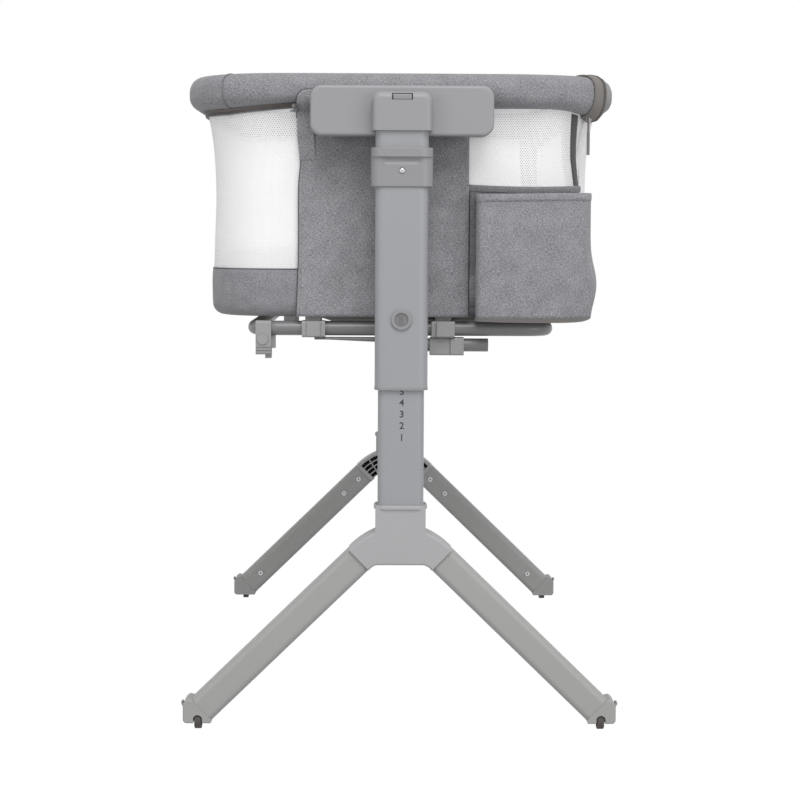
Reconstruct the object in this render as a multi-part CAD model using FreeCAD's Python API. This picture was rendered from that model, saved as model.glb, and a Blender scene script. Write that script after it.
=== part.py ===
import FreeCAD, Part
import math
import os
from FreeCAD import Vector as V

# Bedside sleeper crib. Millimetres, +Z up, origin on the floor at the centre.
# +X is the side that drops towards the parents' bed, Y is the crib's long axis.
# The near end is at -Y. Each end is described once, by its distance "out" from
# the centre along -Y, and copied to the far end.

os.makedirs("parts", exist_ok=True)
ORIGIN = V(0, 0, 0)
X_AXIS = V(1, 0, 0)
Y_AXIS = V(0, 1, 0)
Z_AXIS = V(0, 0, 1)

# ---------------------------------------------------------------- driving sizes
SEAT_GAP = 0.3               # between pieces that rest against each other
RUN_GAP = 0.05               # radial gap of a pin or wheel that turns
GLIDE_GAP = 0.4              # round a piece that slides on another

# rim of the bassinet: a tube in a padded sleeve
RIM_WIDTH = 556.0            # over the padding, along X
RIM_LENGTH = 826.0           # over the padding, along Y
RIM_TOP = 840.0
RIM_RADIUS = 95.0            # corner radius of the rail tube's centre line
PAD_WIDTH = 44.0
PAD_HEIGHT = 47.0
PAD_ROUND = 18.0
RAIL_TUBE_D = 24.0
TUBE_WALL = 1.6
DROP_ANGLE = 32.0            # the drop side ends this far round each +X corner
SPLIT_ANGLE = 0.35           # half the gap between fixed and dropping pieces

# walls
WALL_INSET = 6.0             # wall's outer face inside the rail's centre line
CLOTH = 2.0
NET_CLOTH = 1.5
BASE_BOTTOM = 527.0
BAND_HEIGHT = 64.0
BAND_ROUND = 16.0
BAND_LIP = 24.0
NET_COLUMNS = 20
NET_ROWS = 7
NET_STRAND = 5.0
PANEL_LEFT = -132.0          # grey panel at each end, from here
PANEL_RIGHT = 87.0           # to here
PANEL_CLOTH = 1.6
ZIP_TAPE = 1.2               # thickness
ZIP_TAPE_ANGLE = 10.0        # width of a tape round the corner
DROP_TAPE_ANGLE = 4.0
RIM_ZIP_HEIGHT = 7.0

# end storage pocket
POCKET_LEFT = 98.0
POCKET_HEIGHT = 159.0
POCKET_SHOULDER = 42.0       # its front starts to curve back this far from the side
POCKET_DEPTH = 40.0
POCKET_CLOTH = 2.0
POCKET_END_ANGLE = 47.0      # where its side is sewn, from +X

# bed
BOARD_HEIGHT = 24.0
BOARD_SKIN = 5.0
BOARD_INSET = 15.0           # inside the wall's inner face
BOARD_RIB = 4.0
BOARD_RIB_PITCH = 180.0
COVER_THICK = 4.6
MATTRESS_THICK = 60.0
MATTRESS_CROWN = 4.0
MATTRESS_INSET = 16.5
MATTRESS_DRAW_IN = 5.0

# frame under the bed
STRUT_X = (-113.0, 55.0)
STRUT_WIDTH = 22.0
STRUT_THICK = 8.0
STRUT_INSET = 2.0            # behind the wall's cloth
BASE_TUBE_D = 19.0
BASE_TUBE_DROP = 15.0        # its centre below the bassinet's bottom
BASE_TUBE_INSET_X = 59.5     # its centre inside the wall's outer face
BASE_TUBE_INSET_Y = 10.0
BASE_TUBE_RADIUS = 28.0
BRACKET_WIDTH = 30.0
BRACKET_DEPTH = 27.0
BRACKET_DROP = 11.5          # below the base tube's centre
CROSS_TUBE_D = 17.2
CROSS_TUBE_DROP = 21.4       # below the base tube's centre
CROSS_TUBE_INSET = 3.0       # inside it
CROSS_TUBE_LEFT = -112.0
CROSS_TUBE_RIGHT = 114.0
CRIMP_START = 24.0           # round until here, then pressed flat to the left
CRIMP_NECK = -20.0
CRIMP_NECK_HEIGHT = 6.4
CRIMP_HEIGHT = 3.0
CRIMP_TAB = 18.0
CLAMP_WIDTHS = (27.0, 17.0)
CLAMP_DEPTHS = (21.0, 25.0)
CLAMP_HEIGHT = 23.0
ANCHOR_INSET = 12.5          # inside the base tube's left run
ANCHOR_WIDTH = 20.0
ANCHOR_HEIGHT = 44.0
ANCHOR_RIVET_D = 14.0
ANCHOR_DEPTH = 26.0
ANCHOR_LEAF = 5.0
GROOVE_WIDTH = 2.0
GROOVE_PITCH = 4.0
BUCKLE_WIDTH = 8.0
BUCKLE_DEPTH = 14.0
BUCKLE_HEIGHT = 5.0
BUCKLE_WALL = 1.5

# sideways slide behind each head plate
SLIDE_HALF = 112.0
SLIDE_CLEAR = 0.5            # between the rail and the plate's back
SLIDE_Z = 775.0
SLIDE_FLANGE = 24.0
SLIDE_WEB = 10.0
SLIDE_FLANGE_THICK = 4.5
SLIDE_WEB_DEPTH = 11.0
SLIDE_BRACKET_X = 60.0
SLIDE_BRACKET_WIDTH = 20.0
SLIDE_BRACKET_HEIGHT = 14.0

# head plate on top of each post
POST_CLEAR = 27.0            # the post's centre outside the rim's padding
PLATE_WIDTH = 231.0
PLATE_BOTTOM = 757.0
PLATE_TOP = 820.0
PLATE_ROUND = 15.0
PLATE_BEHIND = 26.0          # its back behind the post's centre
PLATE_AHEAD = 5.0            # its front ahead of it
PLATE_WALL = 3.0
HEAD_WIDTH = 75.0
HEAD_BOTTOM = 763.0
HEAD_TOP = 811.0
HEAD_AHEAD = 25.0            # its front ahead of the post's centre
HEAD_ROUND = 11.0
HEAD_EDGE_ROUND = 8.0
EDGE_ROUND = 4.0
HOOK_WALL = 4.0
HOOK_REACH = 10.0
HOOK_LIP = 7.0
HOOK_HALF = 100.0
RELEASE_WIDTH = 26.0
RELEASE_HEIGHT = 8.2
RELEASE_TOP = 809.0
RELEASE_DEPTH = 14.0
RELEASE_TRAVEL = 4.0
RELEASE_GAP = 1.0            # round the tab in its slot
RELEASE_SET_BACK = 1.5

# telescopic post
OUTER_WIDTH = 67.0
OUTER_DEPTH = 42.0
OUTER_ROUND = 13.0
OUTER_WALL = 2.0
OUTER_BOTTOM = 441.0
OUTER_TOP = 797.0
INNER_WIDTH = 58.5
INNER_DEPTH = 33.5
INNER_ROUND = 10.0
INNER_WALL = 2.0
INNER_TOP = 690.0
GLIDE_HEIGHT = 16.0
BUSH_FLANGE = 3.0
BUSH_PROUD = 0.4             # outside the tube's skin
BUSH_SLEEVE = 24.0
HEIGHT_STEP = 15.5
HEIGHT_SETTINGS = 5
LOCK_Z = 527.0
BEZEL_D = 26.0
BEZEL_PROUD = 3.0
BUTTON_D = 17.5
BUTTON_PROUD = 1.0           # its face ahead of the tube, inside the bezel
BUTTON_RIB = 1.4
BUTTON_RIB_GAP = 1.6
BUTTON_RIB_HEIGHT = 10.0
LOCK_PIN_D = 8.0
COLLAR_BOTTOM = 693.0
COLLAR_TOP = 742.0
COLLAR_WIDTH = 78.0
COLLAR_BACK_WALL = 3.0
COLLAR_FRONT_WALL = 2.6
COLLAR_LIP = 4.0
COLLAR_LIP_HEIGHT = 11.5
SCOOP_WIDTH = 54.0           # finger scoop under the collar's lip
SCOOP_DEPTH = 1.5
SCOOP_R = 14.0
COLLAR_SCREW_DROP = 29.0     # below the collar's top
COLLAR_SCREW_D = 7.0

# hub and legs
HUB_DEPTH = 40.0
HUB_SOCKET_WIDTH = 64.0
HUB_LIP_WIDTH = 68.0
HUB_LIP_HEIGHT = 4.5
HUB_TOP = 291.0
SOCKET_FLOOR = 263.0
ARCH_CENTRE_Z = 178.0
ARCH_OUTER_R = 85.5
ARCH_UNDER_Z = 214.5
LATTICE_INNER_R = 44.0
LATTICE_OUTER_R = 82.0
LATTICE_ROWS = 5
LATTICE_SECTORS = 7
LATTICE_RIB = 1.6
LATTICE_HALF_ANGLE = 46.0
HUB_SKIN = 5.0
LEG_START_X = 52.5           # middle of the seam between hub and leg
LEG_START_Z = 221.0
LEG_END_X = 253.0            # middle of the seam between leg and foot cap
LEG_END_Z = 26.2
LEG_HEIGHT = 37.0
LEG_DEPTH = 34.0
LEG_ROUND = 8.0
LEG_WALL = 2.4
HUB_TENON = 62.0
FOOT_TENON = 44.0
LEG_SCREW_PLACES = (13.3, 48.6)
FOOT_SCREW_PLACE = 29.7      # from the foot seam
SCREW_HEAD_D = 8.0
SCREW_HEAD_HEIGHT = 2.0
SCREW_SHANK_D = 4.0
SCREW_LENGTH = 10.0

# foot cap, wheel and brake tab
CAP_REACH = 24.5             # beyond the leg's end
CAP_BOTTOM = 9.0
CAP_DEPTH = 36.0
CAP_ROUND = 5.0
WHEEL_INSET = 19.0           # its middle inside the cap's outer side
WHEEL_D = 24.0
WHEEL_WIDTH = 9.0
WHEEL_AHEAD = 5.0            # its axle ahead of the post's centre
WHEEL_GAP = 1.3
WHEEL_SLOT_TOP = 20.0
AXLE_D = 4.0
AXLE_LENGTH = 19.0
BRAKE_INSET = 5.0            # its pin inside the cap's outer side
BRAKE_Z = 21.0
BRAKE_WIDTH = 12.0
BRAKE_PIN_D = 2.0
BRAKE_ARM = 16.5
BRAKE_ANGLE = 65.0           # of the arm above the floor
BRAKE_THICK = 2.6

# zip puller hanging under the rail at each split
PULLER_ANGLE = 38.0
PULLER_OUT = 9.0             # outside the rail's centre line
PULLER_LENGTH = 46.0
PULLER_WIDTH = 5.0
PULLER_THICK = 1.6
SLIDER_HEIGHT = 10.0
PULLER_PIN_D = 1.6

# ---------------------------------------------------------------- derived sizes
RAIL_X = RIM_WIDTH / 2 - PAD_WIDTH / 2
RAIL_Y = RIM_LENGTH / 2 - PAD_WIDTH / 2
RAIL_Z = RIM_TOP - PAD_HEIGHT / 2
CORNER_X = RAIL_X - RIM_RADIUS
CORNER_Y = RAIL_Y - RIM_RADIUS
WALL_R = RIM_RADIUS - WALL_INSET
WALL_OUT = CORNER_Y + WALL_R
PAD_BOTTOM = RIM_TOP - PAD_HEIGHT
WALL_TOP = PAD_BOTTOM - SEAT_GAP
BAND_TOP = BASE_BOTTOM + BAND_HEIGHT
STRUT_BACK = WALL_OUT - CLOTH - STRUT_INSET
BOARD_BOTTOM = BASE_BOTTOM + CLOTH + SEAT_GAP
BOARD_TOP = BOARD_BOTTOM + BOARD_HEIGHT
MATTRESS_BOTTOM = BOARD_TOP + SEAT_GAP
BRACKET_TOP = BASE_BOTTOM - COVER_THICK - 2 * SEAT_GAP
BASE_TUBE_Z = BASE_BOTTOM - BASE_TUBE_DROP
BASE_TUBE_HALF_X = CORNER_X + WALL_R - BASE_TUBE_INSET_X
BASE_TUBE_HALF_Y = WALL_OUT - BASE_TUBE_INSET_Y
CROSS_TUBE_Z = BASE_TUBE_Z - CROSS_TUBE_DROP
CROSS_TUBE_OUT = BASE_TUBE_HALF_Y - CROSS_TUBE_INSET
ANCHOR_X = ANCHOR_INSET - BASE_TUBE_HALF_X
POCKET_RIGHT = CORNER_X + WALL_R
POCKET_TOP = BASE_BOTTOM + POCKET_HEIGHT
POST_OUT = RIM_LENGTH / 2 + POST_CLEAR
PLATE_BACK = POST_OUT - PLATE_BEHIND
PLATE_FRONT = POST_OUT + PLATE_AHEAD
HEAD_FRONT = POST_OUT + HEAD_AHEAD
WEB_BACK = PLATE_BACK - SLIDE_CLEAR - SLIDE_FLANGE_THICK - SLIDE_WEB_DEPTH
POST_BACK = POST_OUT - OUTER_DEPTH / 2
POST_FRONT = POST_OUT + OUTER_DEPTH / 2
CAP_OUTER_X = LEG_END_X + CAP_REACH
WHEEL_X = CAP_OUTER_X - WHEEL_INSET
WHEEL_OUT = POST_OUT + WHEEL_AHEAD
BRAKE_X = CAP_OUTER_X - BRAKE_INSET
LEG_ANGLE = math.atan2(LEG_START_Z - LEG_END_Z, LEG_END_X - LEG_START_X)
LEG_LENGTH = math.hypot(LEG_START_Z - LEG_END_Z, LEG_END_X - LEG_START_X)
LEG_ALONG = (math.cos(LEG_ANGLE), -math.sin(LEG_ANGLE))
LEG_ACROSS = (math.sin(LEG_ANGLE), math.cos(LEG_ANGLE))


# ---------------------------------------------------------------- small helpers
def flat(u, v):
    """A point of an outline drawn in plan."""
    return V(u, v, 0)


def upright(u, v):
    """A point of an outline drawn in the XZ plane."""
    return V(u, 0, v)


def outline(place, *stops):
    """Face with straight and round edges. A stop is (u, v), or
    (mid_u, mid_v, u, v) for an arc that ends at (u, v)."""
    points = [place(*stop[-2:]) for stop in stops]
    edges = []
    for before, stop, end in zip([points[-1]] + points[:-1], stops, points):
        if len(stop) == 4:
            edges.append(Part.Arc(before, place(*stop[:2]), end).toShape())
        elif before.distanceToPoint(end) > 1e-6:
            edges.append(Part.LineSegment(before, end).toShape())
    return Part.Face(Part.Wire(edges))


def rounded(place, centre, size, radius):
    """Face of a rectangle with round corners."""
    cu, cv = centre
    hu, hv = size[0] / 2, size[1] / 2
    stops = []
    for su, sv, first in ((1, 1, 0), (-1, 1, 90), (-1, -1, 180), (1, -1, 270)):
        u, v = cu + su * (hu - radius), cv + sv * (hv - radius)
        ring = [math.radians(first + turn) for turn in (0, 45, 90)]
        start, mid, end = [(u + radius * math.cos(a), v + radius * math.sin(a)) for a in ring]
        stops += [start, mid + end]
    return outline(place, *stops)


def disc(place, centre, radius, normal):
    """Round face."""
    return Part.Face(Part.Wire(Part.makeCircle(radius, place(*centre), normal)))


def box(x0, x1, y0, y1, z0, z1):
    """Box between two corners."""
    return Part.makeBox(x1 - x0, y1 - y0, z1 - z0, V(x0, y0, z0))


def end_box(x0, x1, out0, out1, z0, z1):
    """Box at the near end, between two distances out from the centre."""
    return box(x0, x1, -out1, -out0, z0, z1)


def raised(face, height, z=0.0):
    """Prism that stands on z."""
    solid = face.extrude(V(0, 0, height))
    solid.translate(V(0, 0, z))
    return solid


def outward(face, out0, out1):
    """Prism of an XZ outline at the near end, between two distances out."""
    solid = face.extrude(V(0, out1 - out0, 0))
    solid.translate(V(0, -out1, 0))
    return solid


def rod(centre, radius, length, axis):
    """Cylinder with its middle at centre."""
    return Part.makeCylinder(radius, length, V(*centre) - axis * (length / 2), axis)


def joined(pieces):
    """One solid from pieces that meet."""
    solid = pieces[0].fuse(pieces[1:]) if len(pieces) > 1 else pieces[0]
    return solid.removeSplitter()


def softened(solid, radius, wanted):
    """Rounds the edges that wanted() picks."""
    return solid.makeFillet(radius, [edge for edge in solid.Edges if wanted(edge)])


def turned(solid):
    """The same piece at the far end, turned half a turn about Z."""
    copy = solid.copy()
    copy.rotate(ORIGIN, Z_AXIS, 180)
    return copy


def mirrored(solid, across=Y_AXIS):
    """The piece on the other side of the middle."""
    return solid.mirror(ORIGIN, across)


def save(name, *pieces):
    """Writes one sub-part and says what it holds."""
    solids = [solid for piece in pieces for solid in piece.Solids]
    shape = Part.makeCompound(solids) if len(solids) > 1 else solids[0]
    whole = all(solid.isValid() and solid.Volume > 0 for solid in solids)
    shape.exportStep(os.path.join("parts", name + ".step"))
    print(f"{name}: {len(solids)} solid(s), {shape.Volume / 1000:.1f} cm3, {'ok' if whole else 'BROKEN'}")


# ---------------------------------------------------------------- along the rim
def side_run(profile, side, start, end):
    """Straight stretch of a piece that follows the rim. side is the way it
    faces, in degrees from +X; the profile's u is the distance from a corner's
    axis; start and end run anticlockwise, from the middle of the side."""
    depth = CORNER_X if side % 180 == 0 else CORNER_Y
    solid = profile.copy()
    solid.translate(V(depth, start, 0))
    solid = solid.extrude(V(0, end - start, 0))
    solid.rotate(ORIGIN, Z_AXIS, side)
    return solid


def corner_bend(profile, first, last):
    """The same piece round one corner, between two angles."""
    solid = profile.revolve(ORIGIN, Z_AXIS, last - first)
    solid.rotate(ORIGIN, Z_AXIS, first)
    middle = math.radians((first + last) / 2)
    axis = (math.copysign(CORNER_X, math.cos(middle)), math.copysign(CORNER_Y, math.sin(middle)))
    solid.translate(V(*axis, 0))
    return solid


def follow_rim(profile, first, last):
    """Bends and full straight sides between two angles, as one solid."""
    pieces = []
    quarter = math.floor(first / 90) * 90
    while quarter < last:
        low, high = max(first, quarter), min(last, quarter + 90)
        if low < high:
            pieces.append(corner_bend(profile, low, high))
        if first < quarter + 90 < last:
            half = CORNER_Y if (quarter + 90) % 180 == 0 else CORNER_X
            pieces.append(side_run(profile, quarter + 90, -half, half))
        quarter += 90
    return joined(pieces)


def wall_strip(inner, outer, z0, z1):
    """Profile of an upright strip of cloth, given by its two radii."""
    return outline(upright, (inner, z0), (outer, z0), (outer, z1), (inner, z1))


def pad_section(grow=0.0):
    """Outline of the rail's padding."""
    size = (PAD_WIDTH + 2 * grow, PAD_HEIGHT + 2 * grow)
    return rounded(upright, (RIM_RADIUS, RAIL_Z), size, PAD_ROUND + grow)


def tube_section(radius, wall=None):
    """Ring, or full disc, on the rail's centre line."""
    ring = disc(upright, (RIM_RADIUS, RAIL_Z), radius, Y_AXIS)
    return ring if wall is None else ring.cut(disc(upright, (RIM_RADIUS, RAIL_Z), radius - wall, Y_AXIS))


FIXED = (DROP_ANGLE + SPLIT_ANGLE, 360 - DROP_ANGLE - SPLIT_ANGLE)
DROPS = (-DROP_ANGLE + SPLIT_ANGLE, DROP_ANGLE - SPLIT_ANGLE)
PLUG_RIM = 0.6               # degrees of the plug's rim at a tube end
PLUG_REACH = 10.0


def slide_bracket():
    """Bracket from the slide rail's web up to the rail tube, near end, at x = 0."""
    half = SLIDE_BRACKET_WIDTH / 2
    foot = SLIDE_Z - SLIDE_BRACKET_HEIGHT / 2
    block = end_box(-half, half, WALL_OUT + PANEL_CLOTH + 2 * SEAT_GAP, WEB_BACK, foot, RAIL_Z)
    return block.cut(rod((0, -RAIL_Y, RAIL_Z), RAIL_TUBE_D / 2 + RUN_GAP, 3 * half, X_AXIS))


def end_strut():
    """Upright bar inside the end panel, near end, at x = 0."""
    half = STRUT_WIDTH / 2
    bar = end_box(-half, half, STRUT_BACK - STRUT_THICK, STRUT_BACK, BRACKET_TOP, RAIL_Z - 8)
    bar = softened(bar, 3.0, lambda edge: edge.Length > 200)
    return bar.cut(rod((0, -RAIL_Y, RAIL_Z), RAIL_TUBE_D / 2 + RUN_GAP, 3 * half, X_AXIS))


def strut_rooms(z0, z1):
    """Slots for the end struts through cloth or padding, near end."""
    gap = 2 * SEAT_GAP
    half = STRUT_WIDTH / 2 + gap
    back = STRUT_BACK + gap
    return [end_box(x - half, x + half, back - STRUT_THICK - 2 * gap, back, z0, z1) for x in STRUT_X]


def pad_notches():
    """Room in the padding for the struts and the slide brackets, both ends."""
    rooms = strut_rooms(PAD_BOTTOM - 5, RAIL_Z)
    gap = 2 * SEAT_GAP
    for x in (-SLIDE_BRACKET_X, SLIDE_BRACKET_X):
        half = SLIDE_BRACKET_WIDTH / 2 + gap
        rooms.append(end_box(x - half, x + half, WALL_OUT + PANEL_CLOTH, WEB_BACK + gap,
                             PAD_BOTTOM - 5, RAIL_Z))
    return rooms + [mirrored(room) for room in rooms]


def build_rail():
    """Rail tube with its plugs, and the padding with its zip rings."""
    tube = tube_section(RAIL_TUBE_D / 2, TUBE_WALL)
    save("rail_tube", follow_rim(tube, FIXED[0] + PLUG_RIM, FIXED[1] - PLUG_RIM))
    drop_tube = follow_rim(tube, DROPS[0] + PLUG_RIM, DROPS[1] - PLUG_RIM)
    rim = tube_section(RAIL_TUBE_D / 2)
    stem = tube_section(RAIL_TUBE_D / 2 - TUBE_WALL - RUN_GAP)

    def plug(face, inwards):
        near = sorted((face, face + inwards * PLUG_RIM))
        far = sorted((face, face + inwards * PLUG_REACH))
        return joined([corner_bend(rim, *near), corner_bend(stem, *far)])
    save("rail_couplers", plug(FIXED[0], 1), plug(FIXED[1], -1))
    save("drop_rail_tube", drop_tube, plug(DROPS[0], 1), plug(DROPS[1], -1))

    sleeve = pad_section().cut(tube_section(RAIL_TUBE_D / 2 + SEAT_GAP / 3))
    padding = follow_rim(sleeve, *FIXED)
    save("rail_padding", padding.cut(pad_notches()))
    save("drop_rail_padding", follow_rim(sleeve, *DROPS))

    ring = pad_section(SEAT_GAP / 2 + ZIP_TAPE).cut(pad_section(SEAT_GAP / 2))
    inner, outer = WALL_R - CLOTH - SEAT_GAP, WALL_R + ZIP_TAPE + 2 * SEAT_GAP
    ring = ring.cut(wall_strip(inner, outer, BAND_TOP, RAIL_Z))
    low, high = FIXED[0], FIXED[0] + ZIP_TAPE_ANGLE
    rings = [corner_bend(ring, low, high), corner_bend(ring, -high, -low)]
    save("rail_zip_rings", *rings, *[slider(side) for side in (-1, 1)])
    low, high = DROPS[1] - DROP_TAPE_ANGLE, DROPS[1]
    tape = wall_strip(WALL_R + SEAT_GAP, WALL_R + SEAT_GAP + ZIP_TAPE, HINGE_Z + 4, WALL_TOP)
    edges = [corner_bend(ring, low, high), corner_bend(ring, -high, -low)]
    edges += [corner_bend(tape, low, high), corner_bend(tape, -high, -low)]
    save("drop_side_zips", *edges)
    low, high = FIXED[0], FIXED[0] + ZIP_TAPE_ANGLE
    save("corner_zips", corner_bend(tape, low, high), corner_bend(tape, -high, -low))
    strip = wall_strip(WALL_R + SEAT_GAP, WALL_R + SEAT_GAP + ZIP_TAPE, WALL_TOP - RIM_ZIP_HEIGHT, WALL_TOP)
    around = [side_run(strip, 90, -PANEL_LEFT + 1, CORNER_X),
              side_run(strip, 270, -CORNER_X, PANEL_LEFT - 1)]
    save("rim_zip", joined(around + [follow_rim(strip, 90, 270)]))


# ---------------------------------------------------------------- zip pullers
PULLER_R = RIM_RADIUS + PULLER_OUT
PULLER_PIVOT_Z = PAD_BOTTOM - ZIP_TAPE - SLIDER_HEIGHT + 2.0


def placed_at_split(solid, side):
    """Moves a piece drawn at the corner's +X point to the puller's angle."""
    copy = solid.copy()
    copy.translate(V(PULLER_R, 0, 0))
    copy.rotate(ORIGIN, Z_AXIS, side * PULLER_ANGLE)
    copy.translate(V(CORNER_X, side * CORNER_Y, 0))
    return copy


def slider(side):
    """Slider body under the rail with the pin that its puller hangs on."""
    top = PAD_BOTTOM - ZIP_TAPE - 2 * SEAT_GAP
    body = box(-4, 4, -4.5, 4.5, top - 4, top)
    body = softened(body, 1.2, lambda edge: abs(edge.tangentAt(edge.FirstParameter).z) > 0.9)
    ears = [box(-1.5, 1.5, y, y + 1.2, PULLER_PIVOT_Z - 1.6, top - 4) for y in (-4.2, 3.0)]
    pin = rod((0, 0, PULLER_PIVOT_Z), PULLER_PIN_D / 2, 8.0, Y_AXIS)
    return placed_at_split(joined([body, pin] + ears), side)


def puller(side):
    """Metal neck with an eye, and a flat strip below it."""
    eye = rod((0, 0, PULLER_PIVOT_Z), 2.2, PULLER_WIDTH, Y_AXIS)
    half = PULLER_WIDTH / 2
    low = PULLER_PIVOT_Z - PULLER_LENGTH
    neck = box(-PULLER_THICK / 2, PULLER_THICK / 2, -half * 0.6, half * 0.6, low + 28, PULLER_PIVOT_Z)
    strip = box(-PULLER_THICK / 2, PULLER_THICK / 2, -half, half, low, low + 30)
    strip = softened(strip, 1.5, lambda edge: abs(edge.tangentAt(edge.FirstParameter).x) > 0.9)
    whole = joined([eye, neck, strip])
    hole = rod((0, 0, PULLER_PIVOT_Z), PULLER_PIN_D / 2 + RUN_GAP, 2 * PULLER_WIDTH, Y_AXIS)
    return placed_at_split(whole.cut(hole), side)


# ---------------------------------------------------------------- walls
HINGE_Z = BAND_TOP + 5.0


def net_panel(z0, z1):
    """Straight side wall of open net: one holed face, given its thickness."""
    length, height = 2 * CORNER_Y, z1 - z0
    column, row = length / NET_COLUMNS, height / NET_ROWS
    sheet = outline(lambda u, v: V(0, u, v),
                    (-CORNER_Y, z0), (CORNER_Y, z0), (CORNER_Y, z1), (-CORNER_Y, z1))
    gaps = []
    half_u, half_v = (column - NET_STRAND) / 2, (row - NET_STRAND) / 2
    for i in range(NET_COLUMNS):
        for j in range(NET_ROWS):
            u, v = -CORNER_Y + (i + 0.5) * column, z0 + (j + 0.5) * row
            corners = [(u + half_u, v), (u, v + half_v), (u - half_u, v), (u, v - half_v)]
            gaps.append(outline(lambda a, b: V(0, a, b), *corners))
    holed = Part.Face([sheet.Wires[0]] + [gap.Wires[0] for gap in gaps])
    holed.validate()
    panel = holed.extrude(V(NET_CLOTH, 0, 0))
    panel.translate(V(CORNER_X + WALL_R - NET_CLOTH, 0, 0))
    return panel


def build_walls():
    """Lower band, nets, curved corner mesh, end panels and the dropping net."""
    turn = BAND_ROUND * (1 - math.sqrt(0.5))
    inner_round = BAND_ROUND - CLOTH
    inner_turn = inner_round * (1 - math.sqrt(0.5))
    inner, floor = WALL_R - CLOTH, BASE_BOTTOM + CLOTH
    band = outline(
        upright, (WALL_R, BAND_TOP), (inner, BAND_TOP), (inner, floor + inner_round),
        (inner - inner_turn, floor + inner_turn, inner - inner_round, floor), (WALL_R - BAND_LIP, floor),
        (WALL_R - BAND_LIP, BASE_BOTTOM), (WALL_R - BAND_ROUND, BASE_BOTTOM),
        (WALL_R - turn, BASE_BOTTOM + turn, WALL_R, BASE_BOTTOM + BAND_ROUND))
    slots = strut_rooms(BRACKET_TOP, BAND_TOP)
    ring = joined([follow_rim(band, -45, 135), follow_rim(band, 135, 315)])
    save("lower_band", ring.cut(slots + [mirrored(slot) for slot in slots]))

    mesh_bottom = BAND_TOP + SEAT_GAP
    save("side_net", mirrored(net_panel(mesh_bottom, WALL_TOP), X_AXIS))
    save("drop_net", net_panel(HINGE_Z + 2 * SEAT_GAP, WALL_TOP))

    mesh = wall_strip(WALL_R - NET_CLOTH, WALL_R, mesh_bottom, WALL_TOP)
    left = joined([side_run(mesh, 270, -CORNER_X, PANEL_LEFT - SEAT_GAP), corner_bend(mesh, 180, 270)])
    right = joined([side_run(mesh, 270, PANEL_RIGHT + SEAT_GAP, CORNER_X),
                    corner_bend(mesh, 270, FIXED[1])])
    save("corner_mesh", left, right, mirrored(left), mirrored(right))
    ends = wall_strip(WALL_R - NET_CLOTH, WALL_R, HINGE_Z + 2 * SEAT_GAP, WALL_TOP)
    hem = wall_strip(WALL_R - CLOTH, WALL_R + CLOTH, HINGE_Z - 3.0, HINGE_Z + SEAT_GAP)
    corners = [corner_bend(ends, DROPS[0], 0), corner_bend(ends, 0, DROPS[1])]
    save("drop_corner_mesh", *corners)
    save("drop_hem", follow_rim(hem, *DROPS))

    outside = wall_strip(WALL_R + SEAT_GAP / 2, WALL_R + PANEL_CLOTH, BASE_BOTTOM + BAND_ROUND, WALL_TOP)
    behind = STRUT_BACK - STRUT_THICK - CORNER_Y - SEAT_GAP
    inside = wall_strip(behind - PANEL_CLOTH, behind, MATTRESS_BOTTOM, WALL_TOP)
    span = (PANEL_LEFT, PANEL_RIGHT)
    panels = [side_run(outside, 270, *span), side_run(inside, 270, *span)]
    middle = wall_strip(WALL_R - NET_CLOTH, WALL_R, mesh_bottom, WALL_TOP)
    panels.append(side_run(middle, 270, *span))
    save("end_panels", *panels, *[mirrored(panel) for panel in panels])


def pocket_plan(shrink):
    """Pocket in plan at the near end: out along the panel, round the corner.
    shrink moves its outer walls in."""
    wall = -(WALL_OUT + SEAT_GAP + shrink)
    left, front = POCKET_LEFT + shrink, -(WALL_OUT + POCKET_DEPTH - shrink)
    right = POCKET_RIGHT - shrink
    angle = math.radians(POCKET_END_ANGLE + shrink)
    reach = WALL_R + SEAT_GAP + shrink
    sewn = (CORNER_X + reach * math.cos(angle), -(CORNER_Y + reach * math.sin(angle)))
    middle = (math.radians(90) + angle) / 2
    along = (CORNER_X + reach * math.cos(middle), -(CORNER_Y + reach * math.sin(middle)))
    shoulder = right - POCKET_SHOULDER
    tip = (right, -(WALL_OUT + POCKET_CLOTH))
    return outline(
        flat, (left, wall), (left + 3, front + 8), (left + 5, front + 2, left + 12, front),
        (shoulder, front + 3), ((shoulder + 3 * right) / 4, front + 15) + tip,
        (right - 6, tip[1] + 15) + sewn, along + (CORNER_X, wall))


def build_pocket():
    """Open-topped storage pouch sewn to the near end."""
    bag = raised(pocket_plan(0.0), POCKET_TOP - BASE_BOTTOM, BASE_BOTTOM)
    room = raised(pocket_plan(POCKET_CLOTH), POCKET_TOP, BASE_BOTTOM + POCKET_CLOTH)
    save("pocket", bag.cut(room))


# ---------------------------------------------------------------- bed
def plan(inset):
    """Rounded rectangle inside the wall's inner face."""
    half_x, half_y = CORNER_X + WALL_R - CLOTH - inset, CORNER_Y + WALL_R - CLOTH - inset
    return rounded(flat, (0, 0), (2 * half_x, 2 * half_y), WALL_R - CLOTH - inset)


def cushion_ring(inset, z):
    """Mattress outline at one height; its sides draw in between the corners."""
    half_x, half_y = CORNER_X + WALL_R - CLOTH - inset, CORNER_Y + WALL_R - CLOTH - inset
    radius = max(WALL_R - CLOTH - inset, 20.0)
    slim = MATTRESS_DRAW_IN
    corner = radius * (1 - math.sqrt(0.5))
    stops = []
    for sx, sy in ((1, 1), (-1, 1), (-1, -1), (1, -1)):
        a = (sx * half_x, sy * (half_y - radius))
        b = (sx * (half_x - radius), sy * half_y)
        mid = (sx * (half_x - corner), sy * (half_y - corner))
        side = (sx * (half_x - slim), 0) if sx * sy > 0 else (0, sy * (half_y - slim))
        start, end = (a, b) if sx * sy > 0 else (b, a)
        stops += [side + start, mid + end]
    face = outline(flat, *stops)
    face.translate(V(0, 0, z))
    return face.Wires[0]


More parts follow.
